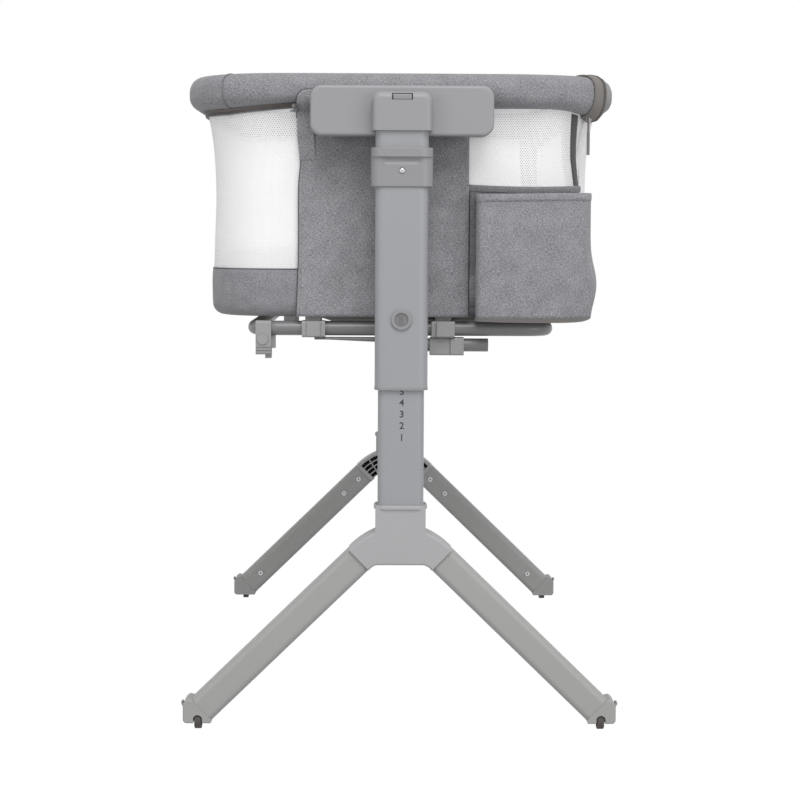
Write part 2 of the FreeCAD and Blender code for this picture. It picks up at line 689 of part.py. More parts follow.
def build_bed():
    """Ribbed board, cloth cover under it and the crowned mattress."""
    tray = raised(plan(BOARD_INSET), BOARD_HEIGHT, BOARD_BOTTOM)
    hollow = raised(plan(BOARD_INSET + BOARD_RIB), BOARD_HEIGHT - BOARD_SKIN, BOARD_BOTTOM)
    height = BOARD_HEIGHT - BOARD_SKIN
    half = BOARD_RIB / 2
    wide, long = RIM_WIDTH / 2, RIM_LENGTH / 2
    places = [step * BOARD_RIB_PITCH for step in (-1, 0, 1)]
    ribs = [box(-wide, wide, y - half, y + half, BOARD_BOTTOM, BOARD_BOTTOM + height) for y in places]
    ribs.append(box(-half, half, -long, long, BOARD_BOTTOM, BOARD_BOTTOM + height))
    save("base_board", tray.cut(hollow.cut(ribs)))

    cover = raised(plan(8.0), COVER_THICK, BASE_BOTTOM - SEAT_GAP - COVER_THICK)
    low = BASE_BOTTOM - SEAT_GAP - COVER_THICK
    cover = softened(cover, 3.0, lambda edge: abs(edge.BoundBox.ZMax - low) < 0.01)
    slots = strut_rooms(low - 1, BOARD_TOP)
    save("base_cover", cover.cut(slots + [mirrored(slot) for slot in slots]))

    rings = ((9, 0), (1.5, 9), (0, 30), (1.5, 51), (10, 58), (50, MATTRESS_THICK),
             (150, MATTRESS_THICK + MATTRESS_CROWN))
    wires = [cushion_ring(MATTRESS_INSET + inset, MATTRESS_BOTTOM + z) for inset, z in rings]
    save("mattress", Part.makeLoft(wires, True, True))


# ---------------------------------------------------------------- frame under the bed
def base_loop(radius):
    """Tube loop under the bed, as a full rod of the given radius."""
    half_x, half_y, bend = BASE_TUBE_HALF_X, BASE_TUBE_HALF_Y, BASE_TUBE_RADIUS
    section = Part.Face(Part.Wire(Part.makeCircle(radius, V(bend, 0, BASE_TUBE_Z), Y_AXIS)))
    pieces = []
    for turn, sx, sy in ((0, 1, 1), (90, -1, 1), (180, -1, -1), (270, 1, -1)):
        bent = section.revolve(ORIGIN, Z_AXIS, 90)
        bent.rotate(ORIGIN, Z_AXIS, turn)
        bent.translate(V(sx * (half_x - bend), sy * (half_y - bend), 0))
        pieces.append(bent)
        across, along = (half_x, half_y) if turn % 180 == 0 else (half_y, half_x)
        run = section.copy()
        run.translate(V(across - bend, bend - along, 0))
        run = run.extrude(V(0, 2 * (along - bend), 0))
        run.rotate(ORIGIN, Z_AXIS, turn)
        pieces.append(run)
    return joined(pieces)


def strut_bracket():
    """Foot of an end strut, gripping the base tube, near end, at x = 0."""
    half = BRACKET_WIDTH / 2
    centre = BASE_TUBE_HALF_Y
    block = end_box(-half, half, centre - BRACKET_DEPTH / 2, centre + BRACKET_DEPTH / 2,
                    BASE_TUBE_Z - BRACKET_DROP, BRACKET_TOP)
    block = softened(block, 3.0, lambda edge: abs(edge.tangentAt(edge.FirstParameter).x) > 0.9)
    pad = end_box(-half * 0.56, half * 0.56, centre + 5, centre + BRACKET_DEPTH / 2 + 2.5,
                  BASE_TUBE_Z - BRACKET_DROP + 2, BRACKET_TOP)
    return joined([block, pad])


def cross_tube():
    """Short tube under the base tube: open square end on the right, pressed
    flat towards the left, where its tab is fixed under the left bracket."""
    radius = CROSS_TUBE_D / 2
    length = CROSS_TUBE_RIGHT - CRIMP_START
    end = V(CRIMP_START, -CROSS_TUBE_OUT, CROSS_TUBE_Z)
    body = Part.makeCylinder(radius, length, end, X_AXIS)
    bore = Part.makeCylinder(radius - TUBE_WALL, length, end, X_AXIS)
    crimp_top = BASE_TUBE_Z - BRACKET_DROP - SEAT_GAP

    def ring(x, height):
        middle = crimp_top - height / 2 if height < 2 * radius else CROSS_TUBE_Z
        across = lambda u, v: V(x, u - CROSS_TUBE_OUT, v)
        return rounded(across, (0, middle), (2 * radius, height), height * 0.49).Wires[0]
    stages = [ring(CRIMP_START, 2 * radius), ring(CRIMP_NECK, CRIMP_NECK_HEIGHT),
              ring(CROSS_TUBE_LEFT + CRIMP_TAB, CRIMP_HEIGHT), ring(CROSS_TUBE_LEFT, CRIMP_HEIGHT)]
    pressed = [Part.makeLoft([before, after], True, True) for before, after in zip(stages, stages[1:])]
    return joined([body.cut(bore)] + pressed)


def strap_anchor(loop):
    """Clip over the base tube with a rivet cap, a back leaf and a buckle."""
    half = ANCHOR_WIDTH / 2
    top = BRACKET_TOP
    bottom = top - ANCHOR_HEIGHT
    centre = BASE_TUBE_HALF_Y - 2
    front = centre + ANCHOR_DEPTH / 2
    body = end_box(ANCHOR_X - half, ANCHOR_X + half, front - ANCHOR_DEPTH, front, bottom, top)
    body = softened(body, 3.0, lambda edge: abs(edge.tangentAt(edge.FirstParameter).x) > 0.9)
    grooves = []
    for step in range(3):
        low = bottom + GROOVE_WIDTH + step * GROOVE_PITCH - GROOVE_WIDTH
        grooves.append(end_box(ANCHOR_X - half - 1, ANCHOR_X + half + 1, front - 1.5, front + 1,
                               low, low + GROOVE_WIDTH))
    rivet = rod((ANCHOR_X - 1, -(front + 1), BASE_TUBE_Z - ANCHOR_RIVET_D), ANCHOR_RIVET_D / 2, 2.0, Y_AXIS)
    leaf = end_box(ANCHOR_X + half, ANCHOR_X + half + ANCHOR_LEAF, front - ANCHOR_DEPTH + 2, front - 9,
                   bottom + 8, top - 4)
    clip = joined([body, leaf, rivet]).cut(grooves + [loop])
    left, right = ANCHOR_X + 2, ANCHOR_X + 2 + BUCKLE_WIDTH
    back = front - ANCHOR_DEPTH + 5
    buckle = end_box(left, right, back, back + BUCKLE_DEPTH, bottom - BUCKLE_HEIGHT, bottom)
    slot = end_box(left - 1, right + 1, back + 2 * BUCKLE_WALL, back + BUCKLE_DEPTH - 2 * BUCKLE_WALL,
                   bottom - BUCKLE_HEIGHT + BUCKLE_WALL, bottom - BUCKLE_WALL)
    return clip, buckle.cut(slot)


def build_under_frame():
    """Struts, base tube, brackets, cross tubes, clamps and strap anchors."""
    struts = []
    brackets = []
    roomy_loop = base_loop(BASE_TUBE_D / 2 + RUN_GAP)
    for x in STRUT_X:
        strut, bracket = end_strut(), strut_bracket()
        strut.translate(V(x, 0, 0))
        bracket.translate(V(x, 0, 0))
        struts.append(strut)
        brackets.append(bracket.cut(roomy_loop))
    save("end_struts", *struts, *[mirrored(strut) for strut in struts])
    save("strut_brackets", *brackets, *[mirrored(bracket) for bracket in brackets])
    save("base_tube", base_loop(BASE_TUBE_D / 2).cut(base_loop(BASE_TUBE_D / 2 - TUBE_WALL)))

    tube = cross_tube()
    save("cross_tubes", tube, mirrored(tube))
    clamps = []
    left = STRUT_X[1] - BRACKET_WIDTH / 2 - 2
    bore = rod((0, -CROSS_TUBE_OUT, CROSS_TUBE_Z), CROSS_TUBE_D / 2 + RUN_GAP, RIM_WIDTH, X_AXIS)
    top = BASE_TUBE_Z - BRACKET_DROP
    for width, depth in zip(CLAMP_WIDTHS, CLAMP_DEPTHS):
        block = end_box(left, left + width, CROSS_TUBE_OUT - depth / 2, CROSS_TUBE_OUT + depth / 2,
                        top - CLAMP_HEIGHT, top)
        block = softened(block, 2.5, lambda edge: abs(edge.tangentAt(edge.FirstParameter).x) > 0.9)
        clamps.append(block.cut(bore))
        left += width
    save("cross_tube_clamps", *clamps, *[mirrored(clamp) for clamp in clamps])
    anchor = strap_anchor(roomy_loop)
    save("strap_anchors", *anchor, *[mirrored(piece) for piece in anchor])


# ---------------------------------------------------------------- sideways slide
def build_slide_rails():
    """T-shaped rail at each end that the head plate hooks on, and its brackets."""
    front = PLATE_BACK - SLIDE_CLEAR
    flange = end_box(-SLIDE_HALF, SLIDE_HALF, front - SLIDE_FLANGE_THICK, front,
                     SLIDE_Z - SLIDE_FLANGE / 2, SLIDE_Z + SLIDE_FLANGE / 2)
    web_front = front - SLIDE_FLANGE_THICK
    web = end_box(-SLIDE_HALF, SLIDE_HALF, web_front - SLIDE_WEB_DEPTH, web_front,
                  SLIDE_Z - SLIDE_WEB / 2, SLIDE_Z + SLIDE_WEB / 2)
    pieces = [joined([flange, web])]
    for x in (-SLIDE_BRACKET_X, SLIDE_BRACKET_X):
        bracket = slide_bracket()
        bracket.translate(V(x, 0, 0))
        pieces.append(bracket)
    save("slide_rails", *pieces, *[mirrored(piece) for piece in pieces])


def tube_profile(width, depth, radius):
    """Plan outline of the post, near end."""
    return rounded(flat, (0, -POST_OUT), (width, depth), radius)


def head_plate():
    """Wide plate with the raised head, hooked behind over the slide rail."""
    middle = (PLATE_BOTTOM + PLATE_TOP) / 2
    shape = rounded(upright, (0, middle), (PLATE_WIDTH, PLATE_TOP - PLATE_BOTTOM), PLATE_ROUND)
    plate = outward(shape, PLATE_BACK, PLATE_FRONT)
    plate = softened(plate, EDGE_ROUND, lambda edge: edge.BoundBox.YMax < -PLATE_FRONT + 0.01)
    inside = (PLATE_WIDTH - 2 * PLATE_WALL, PLATE_TOP - PLATE_BOTTOM - 2 * PLATE_WALL)
    cavity = rounded(upright, (0, middle), inside, PLATE_ROUND - PLATE_WALL)
    cavity = outward(cavity, PLATE_BACK + 4.0, PLATE_FRONT - PLATE_WALL)
    half = HEAD_WIDTH / 2
    bend = HEAD_ROUND * (1 - math.sqrt(0.5))
    face = outline(
        upright, (half, HEAD_BOTTOM), (half, HEAD_TOP - HEAD_ROUND),
        (half - bend, HEAD_TOP - bend, half - HEAD_ROUND, HEAD_TOP), (HEAD_ROUND - half, HEAD_TOP),
        (bend - half, HEAD_TOP - bend, -half, HEAD_TOP - HEAD_ROUND), (-half, HEAD_BOTTOM))
    head = outward(face, PLATE_BACK, HEAD_FRONT)
    head = softened(head, HEAD_EDGE_ROUND, lambda edge: edge.BoundBox.YMax < -HEAD_FRONT + 0.01
                    and edge.BoundBox.ZMax > HEAD_BOTTOM + 1)
    core = end_box(-half - 2, half + 2, PLATE_BACK + 4.0, PLATE_FRONT - PLATE_WALL, PLATE_BOTTOM, PLATE_TOP)
    body = joined([plate.cut(cavity.cut(core)), head])
    room = raised(tube_profile(OUTER_WIDTH + GLIDE_GAP, OUTER_DEPTH + GLIDE_GAP, OUTER_ROUND),
                  OUTER_TOP - PLATE_BOTTOM + 10, PLATE_BOTTOM - 10)
    slot_back = HEAD_FRONT - RELEASE_DEPTH - RELEASE_TRAVEL - 2
    slot = end_box(-RELEASE_WIDTH / 2, RELEASE_WIDTH / 2, slot_back, HEAD_FRONT + 5,
                   RELEASE_TOP - RELEASE_HEIGHT, RELEASE_TOP)
    hooks = []
    flange = SLIDE_FLANGE / 2 + GLIDE_GAP
    lip_back = PLATE_BACK - HOOK_REACH
    for way in (-1, 1):
        levels = sorted((SLIDE_Z + way * flange, SLIDE_Z + way * (flange + HOOK_WALL)))
        hooks.append(end_box(-HOOK_HALF, HOOK_HALF, lip_back, PLATE_BACK, *levels))
        levels = sorted((SLIDE_Z + way * (flange - HOOK_LIP), SLIDE_Z + way * (flange + HOOK_WALL)))
        lip_front = PLATE_BACK - SLIDE_CLEAR - SLIDE_FLANGE_THICK - GLIDE_GAP
        hooks.append(end_box(-HOOK_HALF, HOOK_HALF, lip_back, lip_front, *levels))
    return joined([body.cut([room, slot])] + hooks)


def release_button():
    """Press tab in the slot at the top of the head; it rests on the slot's floor."""
    half = RELEASE_WIDTH / 2 - RELEASE_GAP
    face = HEAD_FRONT - RELEASE_SET_BACK
    tab = end_box(-half, half, HEAD_FRONT - RELEASE_DEPTH, face,
                  RELEASE_TOP - RELEASE_HEIGHT + GLIDE_GAP / 2, RELEASE_TOP - RELEASE_GAP)
    return softened(tab, 1.2, lambda edge: edge.BoundBox.YMax < 0.01 - face)


# ---------------------------------------------------------------- post
def outer_tube():
    """Upper tube of the post, with the hole for the lock pin."""
    profile = tube_profile(OUTER_WIDTH, OUTER_DEPTH, OUTER_ROUND)
    tube = raised(profile, OUTER_TOP - OUTER_BOTTOM, OUTER_BOTTOM)
    walls = 2 * OUTER_WALL
    inside = tube_profile(OUTER_WIDTH - walls, OUTER_DEPTH - walls, OUTER_ROUND - OUTER_WALL)
    hole = rod((0, -POST_FRONT, LOCK_Z), LOCK_PIN_D / 2 + RUN_GAP, 3 * OUTER_WALL, Y_AXIS)
    return tube.cut([raised(inside, OUTER_TOP, OUTER_BOTTOM - 1), hole])


def tube_bush():
    """Trim ring under the outer tube; its sleeve guides the inner tube."""
    rim = tube_profile(OUTER_WIDTH + 2 * BUSH_PROUD, OUTER_DEPTH + 2 * BUSH_PROUD, OUTER_ROUND)
    flange = raised(rim, BUSH_FLANGE, OUTER_BOTTOM - BUSH_FLANGE)
    loose = 2 * (OUTER_WALL + RUN_GAP)
    guide = tube_profile(OUTER_WIDTH - loose, OUTER_DEPTH - loose, OUTER_ROUND - OUTER_WALL)
    sleeve = raised(guide, BUSH_SLEEVE, OUTER_BOTTOM)
    bore = tube_profile(INNER_WIDTH + GLIDE_GAP, INNER_DEPTH + GLIDE_GAP, INNER_ROUND)
    return joined([flange, sleeve]).cut(raised(bore, OUTER_TOP, OUTER_BOTTOM - 2 * BUSH_FLANGE))


def lock_bezel():
    """Ring round the lock button."""
    ring = rod((0, -(POST_FRONT + BEZEL_PROUD / 2), LOCK_Z), BEZEL_D / 2, BEZEL_PROUD, Y_AXIS)
    ring = softened(ring, 1.0, lambda edge: edge.BoundBox.YMax < -(POST_FRONT + BEZEL_PROUD) + 0.01)
    return ring.cut(rod((0, -POST_FRONT, LOCK_Z), BUTTON_D / 2 + RUN_GAP, 4 * BEZEL_PROUD, Y_AXIS))


def lock_button():
    """Button set back in its bezel, two upright ribs on its face, and the pin
    that enters the inner tube's holes."""
    face = POST_FRONT + BUTTON_PROUD
    cap = rod((0, -(POST_FRONT + 0.1 + face) / 2, LOCK_Z), BUTTON_D / 2, BUTTON_PROUD - 0.1, Y_AXIS)
    ribs = []
    for side in (-1, 1):
        x = side * (BUTTON_RIB_GAP + BUTTON_RIB) / 2
        ribs.append(end_box(x - BUTTON_RIB / 2, x + BUTTON_RIB / 2,
                            face - 0.5, POST_FRONT + BEZEL_PROUD - 0.4,
                            LOCK_Z - BUTTON_RIB_HEIGHT / 2, LOCK_Z + BUTTON_RIB_HEIGHT / 2))
    tip = POST_OUT + INNER_DEPTH / 2 + SEAT_GAP
    pin = rod((0, -(tip + face) / 2, LOCK_Z), LOCK_PIN_D / 2, face - tip, Y_AXIS)
    return joined([cap, pin] + ribs)


def collar():
    """Height release round the outer tube: finger lip at the top with a scoop
    under it, and one screw."""
    back = POST_BACK - COLLAR_BACK_WALL - GLIDE_GAP
    front = POST_FRONT + COLLAR_FRONT_WALL
    lip_bottom = COLLAR_TOP - COLLAR_LIP_HEIGHT
    plan_shape = rounded(flat, (0, -(back + front) / 2), (COLLAR_WIDTH, front - back), OUTER_ROUND + 3)
    body = raised(plan_shape, COLLAR_TOP - COLLAR_BOTTOM, COLLAR_BOTTOM)
    body = softened(body, 1.5, lambda edge: edge.BoundBox.ZMax < COLLAR_BOTTOM + 0.01)
    lip_front = front + COLLAR_LIP
    lip_size = (COLLAR_WIDTH, lip_front - back)
    lip_shape = rounded(flat, (0, -(back + lip_front) / 2), lip_size, OUTER_ROUND + 5)
    lip = raised(lip_shape, COLLAR_LIP_HEIGHT, lip_bottom)
    lip = softened(lip, 1.5, lambda edge: edge.BoundBox.ZMin > COLLAR_TOP - 0.01)
    scoop_z = lip_bottom - math.sqrt(2 * SCOOP_R * SCOOP_DEPTH) / 2
    scoop = rod((0, -(front + SCOOP_R - SCOOP_DEPTH), scoop_z), SCOOP_R, SCOOP_WIDTH, X_AXIS)
    scoop = softened(scoop, SCOOP_R / 2, lambda edge: True)
    below = end_box(-COLLAR_WIDTH, COLLAR_WIDTH, back, lip_front + SCOOP_R * 2, COLLAR_BOTTOM, lip_bottom)
    bore = tube_profile(OUTER_WIDTH + 2 * GLIDE_GAP, OUTER_DEPTH + 2 * GLIDE_GAP, OUTER_ROUND)
    screw_z = COLLAR_TOP - COLLAR_SCREW_DROP
    seat = rod((0, -front, screw_z), COLLAR_SCREW_D / 2 + 0.6, 1.6, Y_AXIS)
    shell = joined([body, lip]).cut([raised(bore, 100, COLLAR_BOTTOM - 1), seat, scoop.common(below)])
    screw = rod((0, -(front - 0.3), screw_z), COLLAR_SCREW_D / 2, 1.0, Y_AXIS)
    return shell, screw


def inner_tube():
    """Lower tube with its height holes, and the glide on its top."""
    profile = tube_profile(INNER_WIDTH, INNER_DEPTH, INNER_ROUND)
    tube = raised(profile, INNER_TOP - SOCKET_FLOOR, SOCKET_FLOOR)
    walls = 2 * INNER_WALL
    inside = tube_profile(INNER_WIDTH - walls, INNER_DEPTH - walls, INNER_ROUND - INNER_WALL)
    cuts = [raised(inside, INNER_TOP, SOCKET_FLOOR - 1)]
    face = POST_OUT + INNER_DEPTH / 2
    for step in range(HEIGHT_SETTINGS):
        centre = (0, -face, LOCK_Z + step * HEIGHT_STEP)
        cuts.append(rod(centre, LOCK_PIN_D / 2 + RUN_GAP, 3 * INNER_WALL, Y_AXIS))
    loose = 2 * (OUTER_WALL + GLIDE_GAP / 2)
    cap = tube_profile(OUTER_WIDTH - loose, OUTER_DEPTH - loose, OUTER_ROUND - OUTER_WALL)
    glide = raised(cap, GLIDE_HEIGHT / 2, INNER_TOP)
    return tube.cut(cuts), glide


# ---------------------------------------------------------------- hub and legs
def lattice_pockets():
    """Open cells on the hub's inner side: rows round the arch, cut by ribs
    that fan out from the arch's centre."""
    pitch = (LATTICE_OUTER_R - LATTICE_INNER_R) / LATTICE_ROWS
    sector = 2 * LATTICE_HALF_ANGLE / LATTICE_SECTORS
    cells = []
    for row in range(LATTICE_ROWS):
        low = LATTICE_INNER_R + row * pitch + LATTICE_RIB / 2
        high = low + pitch - LATTICE_RIB
        trim = math.degrees(LATTICE_RIB / (low + high))
        for index in range(LATTICE_SECTORS):
            start = 90 - LATTICE_HALF_ANGLE + index * sector + trim
            end = start + sector - 2 * trim
            ring = [math.radians(a) for a in (start, (start + end) / 2, end)]
            lower = [(low * math.cos(a), ARCH_CENTRE_Z + low * math.sin(a)) for a in ring]
            upper = [(high * math.cos(a), ARCH_CENTRE_Z + high * math.sin(a)) for a in ring]
            cell = outline(upright, lower[0], lower[1] + lower[2], upper[2], upper[1] + upper[0])
            cells.append(outward(cell, POST_OUT - HUB_DEPTH, POST_OUT + HUB_DEPTH / 2 - HUB_SKIN))
    return cells


def leg_frame(u, v):
    """Place of a point u along the right leg from its hub seam, v across it."""
    return (LEG_START_X + u * LEG_ALONG[0] + v * LEG_ACROSS[0],
            LEG_START_Z + u * LEG_ALONG[1] + v * LEG_ACROSS[1])


def along_leg(size, depth, radius, start, length):
    """Rounded bar in the right leg's line."""
    section = rounded(lambda a, b: V(a, b, 0), (0, 0), (depth, size), radius)
    bar = section.extrude(V(0, 0, length))
    bar.rotate(ORIGIN, Z_AXIS, 90)
    bar.rotate(ORIGIN, Y_AXIS, 90 + math.degrees(LEG_ANGLE))
    x, z = leg_frame(start, 0)
    bar.translate(V(x, -POST_OUT, z))
    return bar


def hub():
    """Moulded hub: socket for the inner tube, arch, latticed inner side, and a
    tenon into each leg."""
    half = HUB_SOCKET_WIDTH / 2
    shoulder = ARCH_CENTRE_Z + math.sqrt(ARCH_OUTER_R ** 2 - half ** 2)
    seam_top, seam_low = leg_frame(0, LEG_HEIGHT / 2), leg_frame(0, -LEG_HEIGHT / 2)
    bow = (math.atan2(shoulder - ARCH_CENTRE_Z, half)
           + math.atan2(seam_top[1] - ARCH_CENTRE_Z, seam_top[0])) / 2
    crest = (ARCH_OUTER_R * math.cos(bow), ARCH_CENTRE_Z + ARCH_OUTER_R * math.sin(bow))
    knee = seam_low[0] - (ARCH_UNDER_Z - seam_low[1])
    soft = 6.0
    shape = outline(
        upright, (half, HUB_TOP), (half, shoulder), crest + seam_top, seam_low,
        (knee, ARCH_UNDER_Z - 1.0, knee - soft, ARCH_UNDER_Z), (soft - knee, ARCH_UNDER_Z),
        (-knee, ARCH_UNDER_Z - 1.0, -seam_low[0], seam_low[1]), (-seam_top[0], seam_top[1]),
        (-crest[0], crest[1], -half, shoulder), (-half, HUB_TOP))
    body = outward(shape, POST_OUT - HUB_DEPTH / 2, POST_OUT + HUB_DEPTH / 2)
    front = -(POST_OUT + HUB_DEPTH / 2)
    body = softened(body, 3.0, lambda edge: edge.BoundBox.YMax < front + 0.01
                    and edge.BoundBox.ZMax < HUB_TOP - 1
                    and abs(abs(edge.CenterOfMass.x) - LEG_START_X) > 3)
    proud = HUB_LIP_WIDTH - HUB_SOCKET_WIDTH
    collar_ring = tube_profile(HUB_LIP_WIDTH, HUB_DEPTH + proud, INNER_ROUND + proud)
    lip = raised(collar_ring, HUB_LIP_HEIGHT, HUB_TOP - HUB_LIP_HEIGHT)
    lip = softened(lip, 1.5, lambda edge: edge.BoundBox.ZMin > HUB_TOP - 0.01)
    room = tube_profile(INNER_WIDTH + RUN_GAP * 2, INNER_DEPTH + RUN_GAP * 2, INNER_ROUND)
    socket = raised(room, HUB_TOP, SOCKET_FLOOR)
    loose = 2 * (LEG_WALL + RUN_GAP * 2)
    tenon = along_leg(LEG_HEIGHT - loose, LEG_DEPTH - loose, LEG_ROUND - LEG_WALL, -4, HUB_TENON + 4)
    holes = screw_rods(SCREW_SHANK_D / 2 + RUN_GAP, LEG_SCREW_PLACES)
    holes += [mirrored(hole, X_AXIS) for hole in holes]
    return joined([body, lip, tenon, mirrored(tenon, X_AXIS)]).cut([socket] + lattice_pockets() + holes)


def screw_rods(radius, places):
    """Rods through the inner side of the right leg at the screw places."""
    inner = POST_OUT - LEG_DEPTH / 2
    rods = []
    for place in places:
        x, z = leg_frame(place, 0)
        rods.append(Part.makeCylinder(radius, SCREW_LENGTH, V(x, -inner, z), V(0, -1, 0)))
    return rods


def leg_screws():
    """Three screws of the right leg, heads on the inner side."""
    inner = POST_OUT - LEG_DEPTH / 2
    screws = []
    for place in LEG_SCREW_PLACES + (LEG_LENGTH - FOOT_SCREW_PLACE,):
        x, z = leg_frame(place, 0)
        head = Part.makeCylinder(SCREW_HEAD_D / 2, SCREW_HEAD_HEIGHT, V(x, -inner, z), Y_AXIS)
        shank = Part.makeCylinder(SCREW_SHANK_D / 2, SCREW_LENGTH, V(x, -inner, z), V(0, -1, 0))
        screws.append(joined([head, shank]))
    return screws


def leg():
    """Right leg: a rounded tube from the hub seam to the foot seam."""
    tube = along_leg(LEG_HEIGHT, LEG_DEPTH, LEG_ROUND, 0, LEG_LENGTH)
    walls = 2 * LEG_WALL
    bore = along_leg(LEG_HEIGHT - walls, LEG_DEPTH - walls, LEG_ROUND - LEG_WALL, -1, LEG_LENGTH + 2)
    places = LEG_SCREW_PLACES + (LEG_LENGTH - FOOT_SCREW_PLACE,)
    return tube.cut([bore] + screw_rods(SCREW_SHANK_D / 2 + RUN_GAP, places))


# ---------------------------------------------------------------- feet
BRAKE_POCKET = 3.7
BRAKE_LINE = (math.cos(math.radians(BRAKE_ANGLE)), math.sin(math.radians(BRAKE_ANGLE)))


def foot_cap():
    """Right foot cap: closes the leg, houses the wheel and the brake tab."""
    top, low = leg_frame(LEG_LENGTH, LEG_HEIGHT / 2), leg_frame(LEG_LENGTH, -LEG_HEIGHT / 2)
    side, floor, soft = CAP_OUTER_X, CAP_BOTTOM, CAP_ROUND
    bend = soft * (1 - math.sqrt(0.5))
    brow = (side - 2, top[1] - 3)
    face = outline(
        upright, low, (low[0] + 2, floor), (side - soft, floor),
        (side - bend, floor + bend, side, floor + soft),
        (side, top[1] - 10), brow + (side - 7, top[1] + 1), top)
    cap = outward(face, POST_OUT - CAP_DEPTH / 2, POST_OUT + CAP_DEPTH / 2)
    front = -(POST_OUT + CAP_DEPTH / 2)
    cap = softened(cap, 2.0, lambda edge: edge.BoundBox.YMax < front + 0.01
                   and edge.CenterOfMass.x > LEG_END_X + 1)
    loose = 2 * (LEG_WALL + RUN_GAP * 2)
    tenon = along_leg(LEG_HEIGHT - loose, LEG_DEPTH - loose, LEG_ROUND - LEG_WALL,
                      LEG_LENGTH - FOOT_TENON, FOOT_TENON + 3)
    room = WHEEL_WIDTH / 2 + WHEEL_GAP
    well = rod((WHEEL_X, -WHEEL_OUT, WHEEL_D / 2), WHEEL_D / 2 + WHEEL_GAP, 2 * room, X_AXIS)
    beyond, arch_z = POST_OUT + CAP_DEPTH, WHEEL_SLOT_TOP - room
    slot = end_box(WHEEL_X - room, WHEEL_X + room, WHEEL_OUT - WHEEL_D / 2 - WHEEL_GAP, beyond, -5, arch_z)
    arch = Part.makeCylinder(room, beyond - WHEEL_OUT, V(WHEEL_X, -WHEEL_OUT, arch_z), V(0, -1, 0))
    axle = rod((WHEEL_X, -WHEEL_OUT, WHEEL_D / 2), AXLE_D / 2 + RUN_GAP, AXLE_LENGTH, X_AXIS)
    half = BRAKE_WIDTH / 2 + GLIDE_GAP
    brake_room = end_box(BRAKE_X - BRAKE_POCKET, CAP_OUTER_X + 10, WHEEL_OUT - half, WHEEL_OUT + half,
                         BRAKE_Z - 4, BRAKE_Z + 14)
    pin = rod((BRAKE_X, -WHEEL_OUT, BRAKE_Z), BRAKE_PIN_D / 2 + RUN_GAP, BRAKE_WIDTH + 6, Y_AXIS)
    screw = screw_rods(SCREW_SHANK_D / 2 + RUN_GAP, (LEG_LENGTH - FOOT_SCREW_PLACE,))
    return joined([cap, tenon]).cut([well, slot, arch, axle, brake_room, pin] + screw)


def wheel():
    """Small plain wheel with a raised hub on each side."""
    centre = (WHEEL_X, -WHEEL_OUT, WHEEL_D / 2)
    tyre = rod(centre, WHEEL_D / 2, WHEEL_WIDTH, X_AXIS)
    tyre = softened(tyre, 1.2, lambda edge: True)
    groove = rod(centre, WHEEL_D / 2 - 3.0, WHEEL_WIDTH + 1, X_AXIS)
    groove = groove.cut(rod(centre, AXLE_D, WHEEL_WIDTH + 2, X_AXIS))
    web = rod(centre, WHEEL_D / 2, WHEEL_WIDTH - 3.0, X_AXIS)
    return tyre.cut(groove.cut(web)).cut(rod(centre, AXLE_D / 2 + RUN_GAP, 3 * WHEEL_WIDTH, X_AXIS))


def wheel_axle():
    """Pin that the right wheel turns on."""
    return rod((WHEEL_X, -WHEEL_OUT, WHEEL_D / 2), AXLE_D / 2, AXLE_LENGTH, X_AXIS)


def brake_pin():
    """Pin that the right brake tab tips on."""
    return rod((BRAKE_X, -WHEEL_OUT, BRAKE_Z), BRAKE_PIN_D / 2, BRAKE_WIDTH + 6, Y_AXIS)


def brake_tab():
    """Right brake tab: a barrel on its pin and an arm that a toe tips out."""
    barrel = rod((BRAKE_X, -WHEEL_OUT, BRAKE_Z), BRAKE_THICK, BRAKE_WIDTH, Y_AXIS)
    arm = box(-BRAKE_THICK / 2, BRAKE_THICK / 2, -BRAKE_WIDTH / 2, BRAKE_WIDTH / 2, 0, BRAKE_ARM)
    arm = softened(arm, 1.0, lambda edge: edge.BoundBox.ZMin > BRAKE_ARM - 0.01)
    arm.rotate(ORIGIN, Y_AXIS, 90 - BRAKE_ANGLE)
    arm.translate(V(BRAKE_X, -WHEEL_OUT, BRAKE_Z))
    hole = rod((BRAKE_X, -WHEEL_OUT, BRAKE_Z), BRAKE_PIN_D / 2 + RUN_GAP, 2 * BRAKE_WIDTH, Y_AXIS)
    return joined([barrel, arm]).cut(hole)


def both_sides(piece):
    """The right piece and its mirror on the left."""
    return [piece, mirrored(piece, X_AXIS)]


def build_end(name, place):
    """Post, base and feet of one end; place moves near pieces to that end."""
    def keep(node, *pieces):
        save(node + "_" + name, *[place(piece) for piece in pieces])
    keep("head_plate", head_plate())
    keep("release_button", release_button())
    keep("outer_tube", outer_tube())
    keep("tube_trims", tube_bush(), lock_bezel())
    keep("lock_button", lock_button())
    keep("collar", *collar())
    keep("inner_tube", *inner_tube())
    keep("hub", hub())
    keep("legs", *both_sides(leg()))
    keep("foot_caps", *both_sides(foot_cap()))
    fasteners = leg_screws() + [wheel_axle(), brake_pin()]
    keep("base_fasteners", *[piece for fastener in fasteners for piece in both_sides(fastener)])
    keep("wheel_right", wheel())
    keep("wheel_left", mirrored(wheel(), X_AXIS))
    keep("brake_right", brake_tab())
    keep("brake_left", mirrored(brake_tab(), X_AXIS))


build_rail()
save("zip_pull_near", puller(-1))
save("zip_pull_far", puller(1))
build_walls()
build_pocket()
build_bed()
build_under_frame()
build_slide_rails()
build_end("near", lambda piece: piece.copy())
build_end("far", turned)
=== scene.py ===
# %% [markdown]
# # A bedside sleeper crib, dressed
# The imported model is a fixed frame: its tubes, posts, hubs and legs stay as they
# are and only get finishes. Everything soft is made new around it here: the
# padded rim, the net windows, the grey panels, the pocket and the mattress.

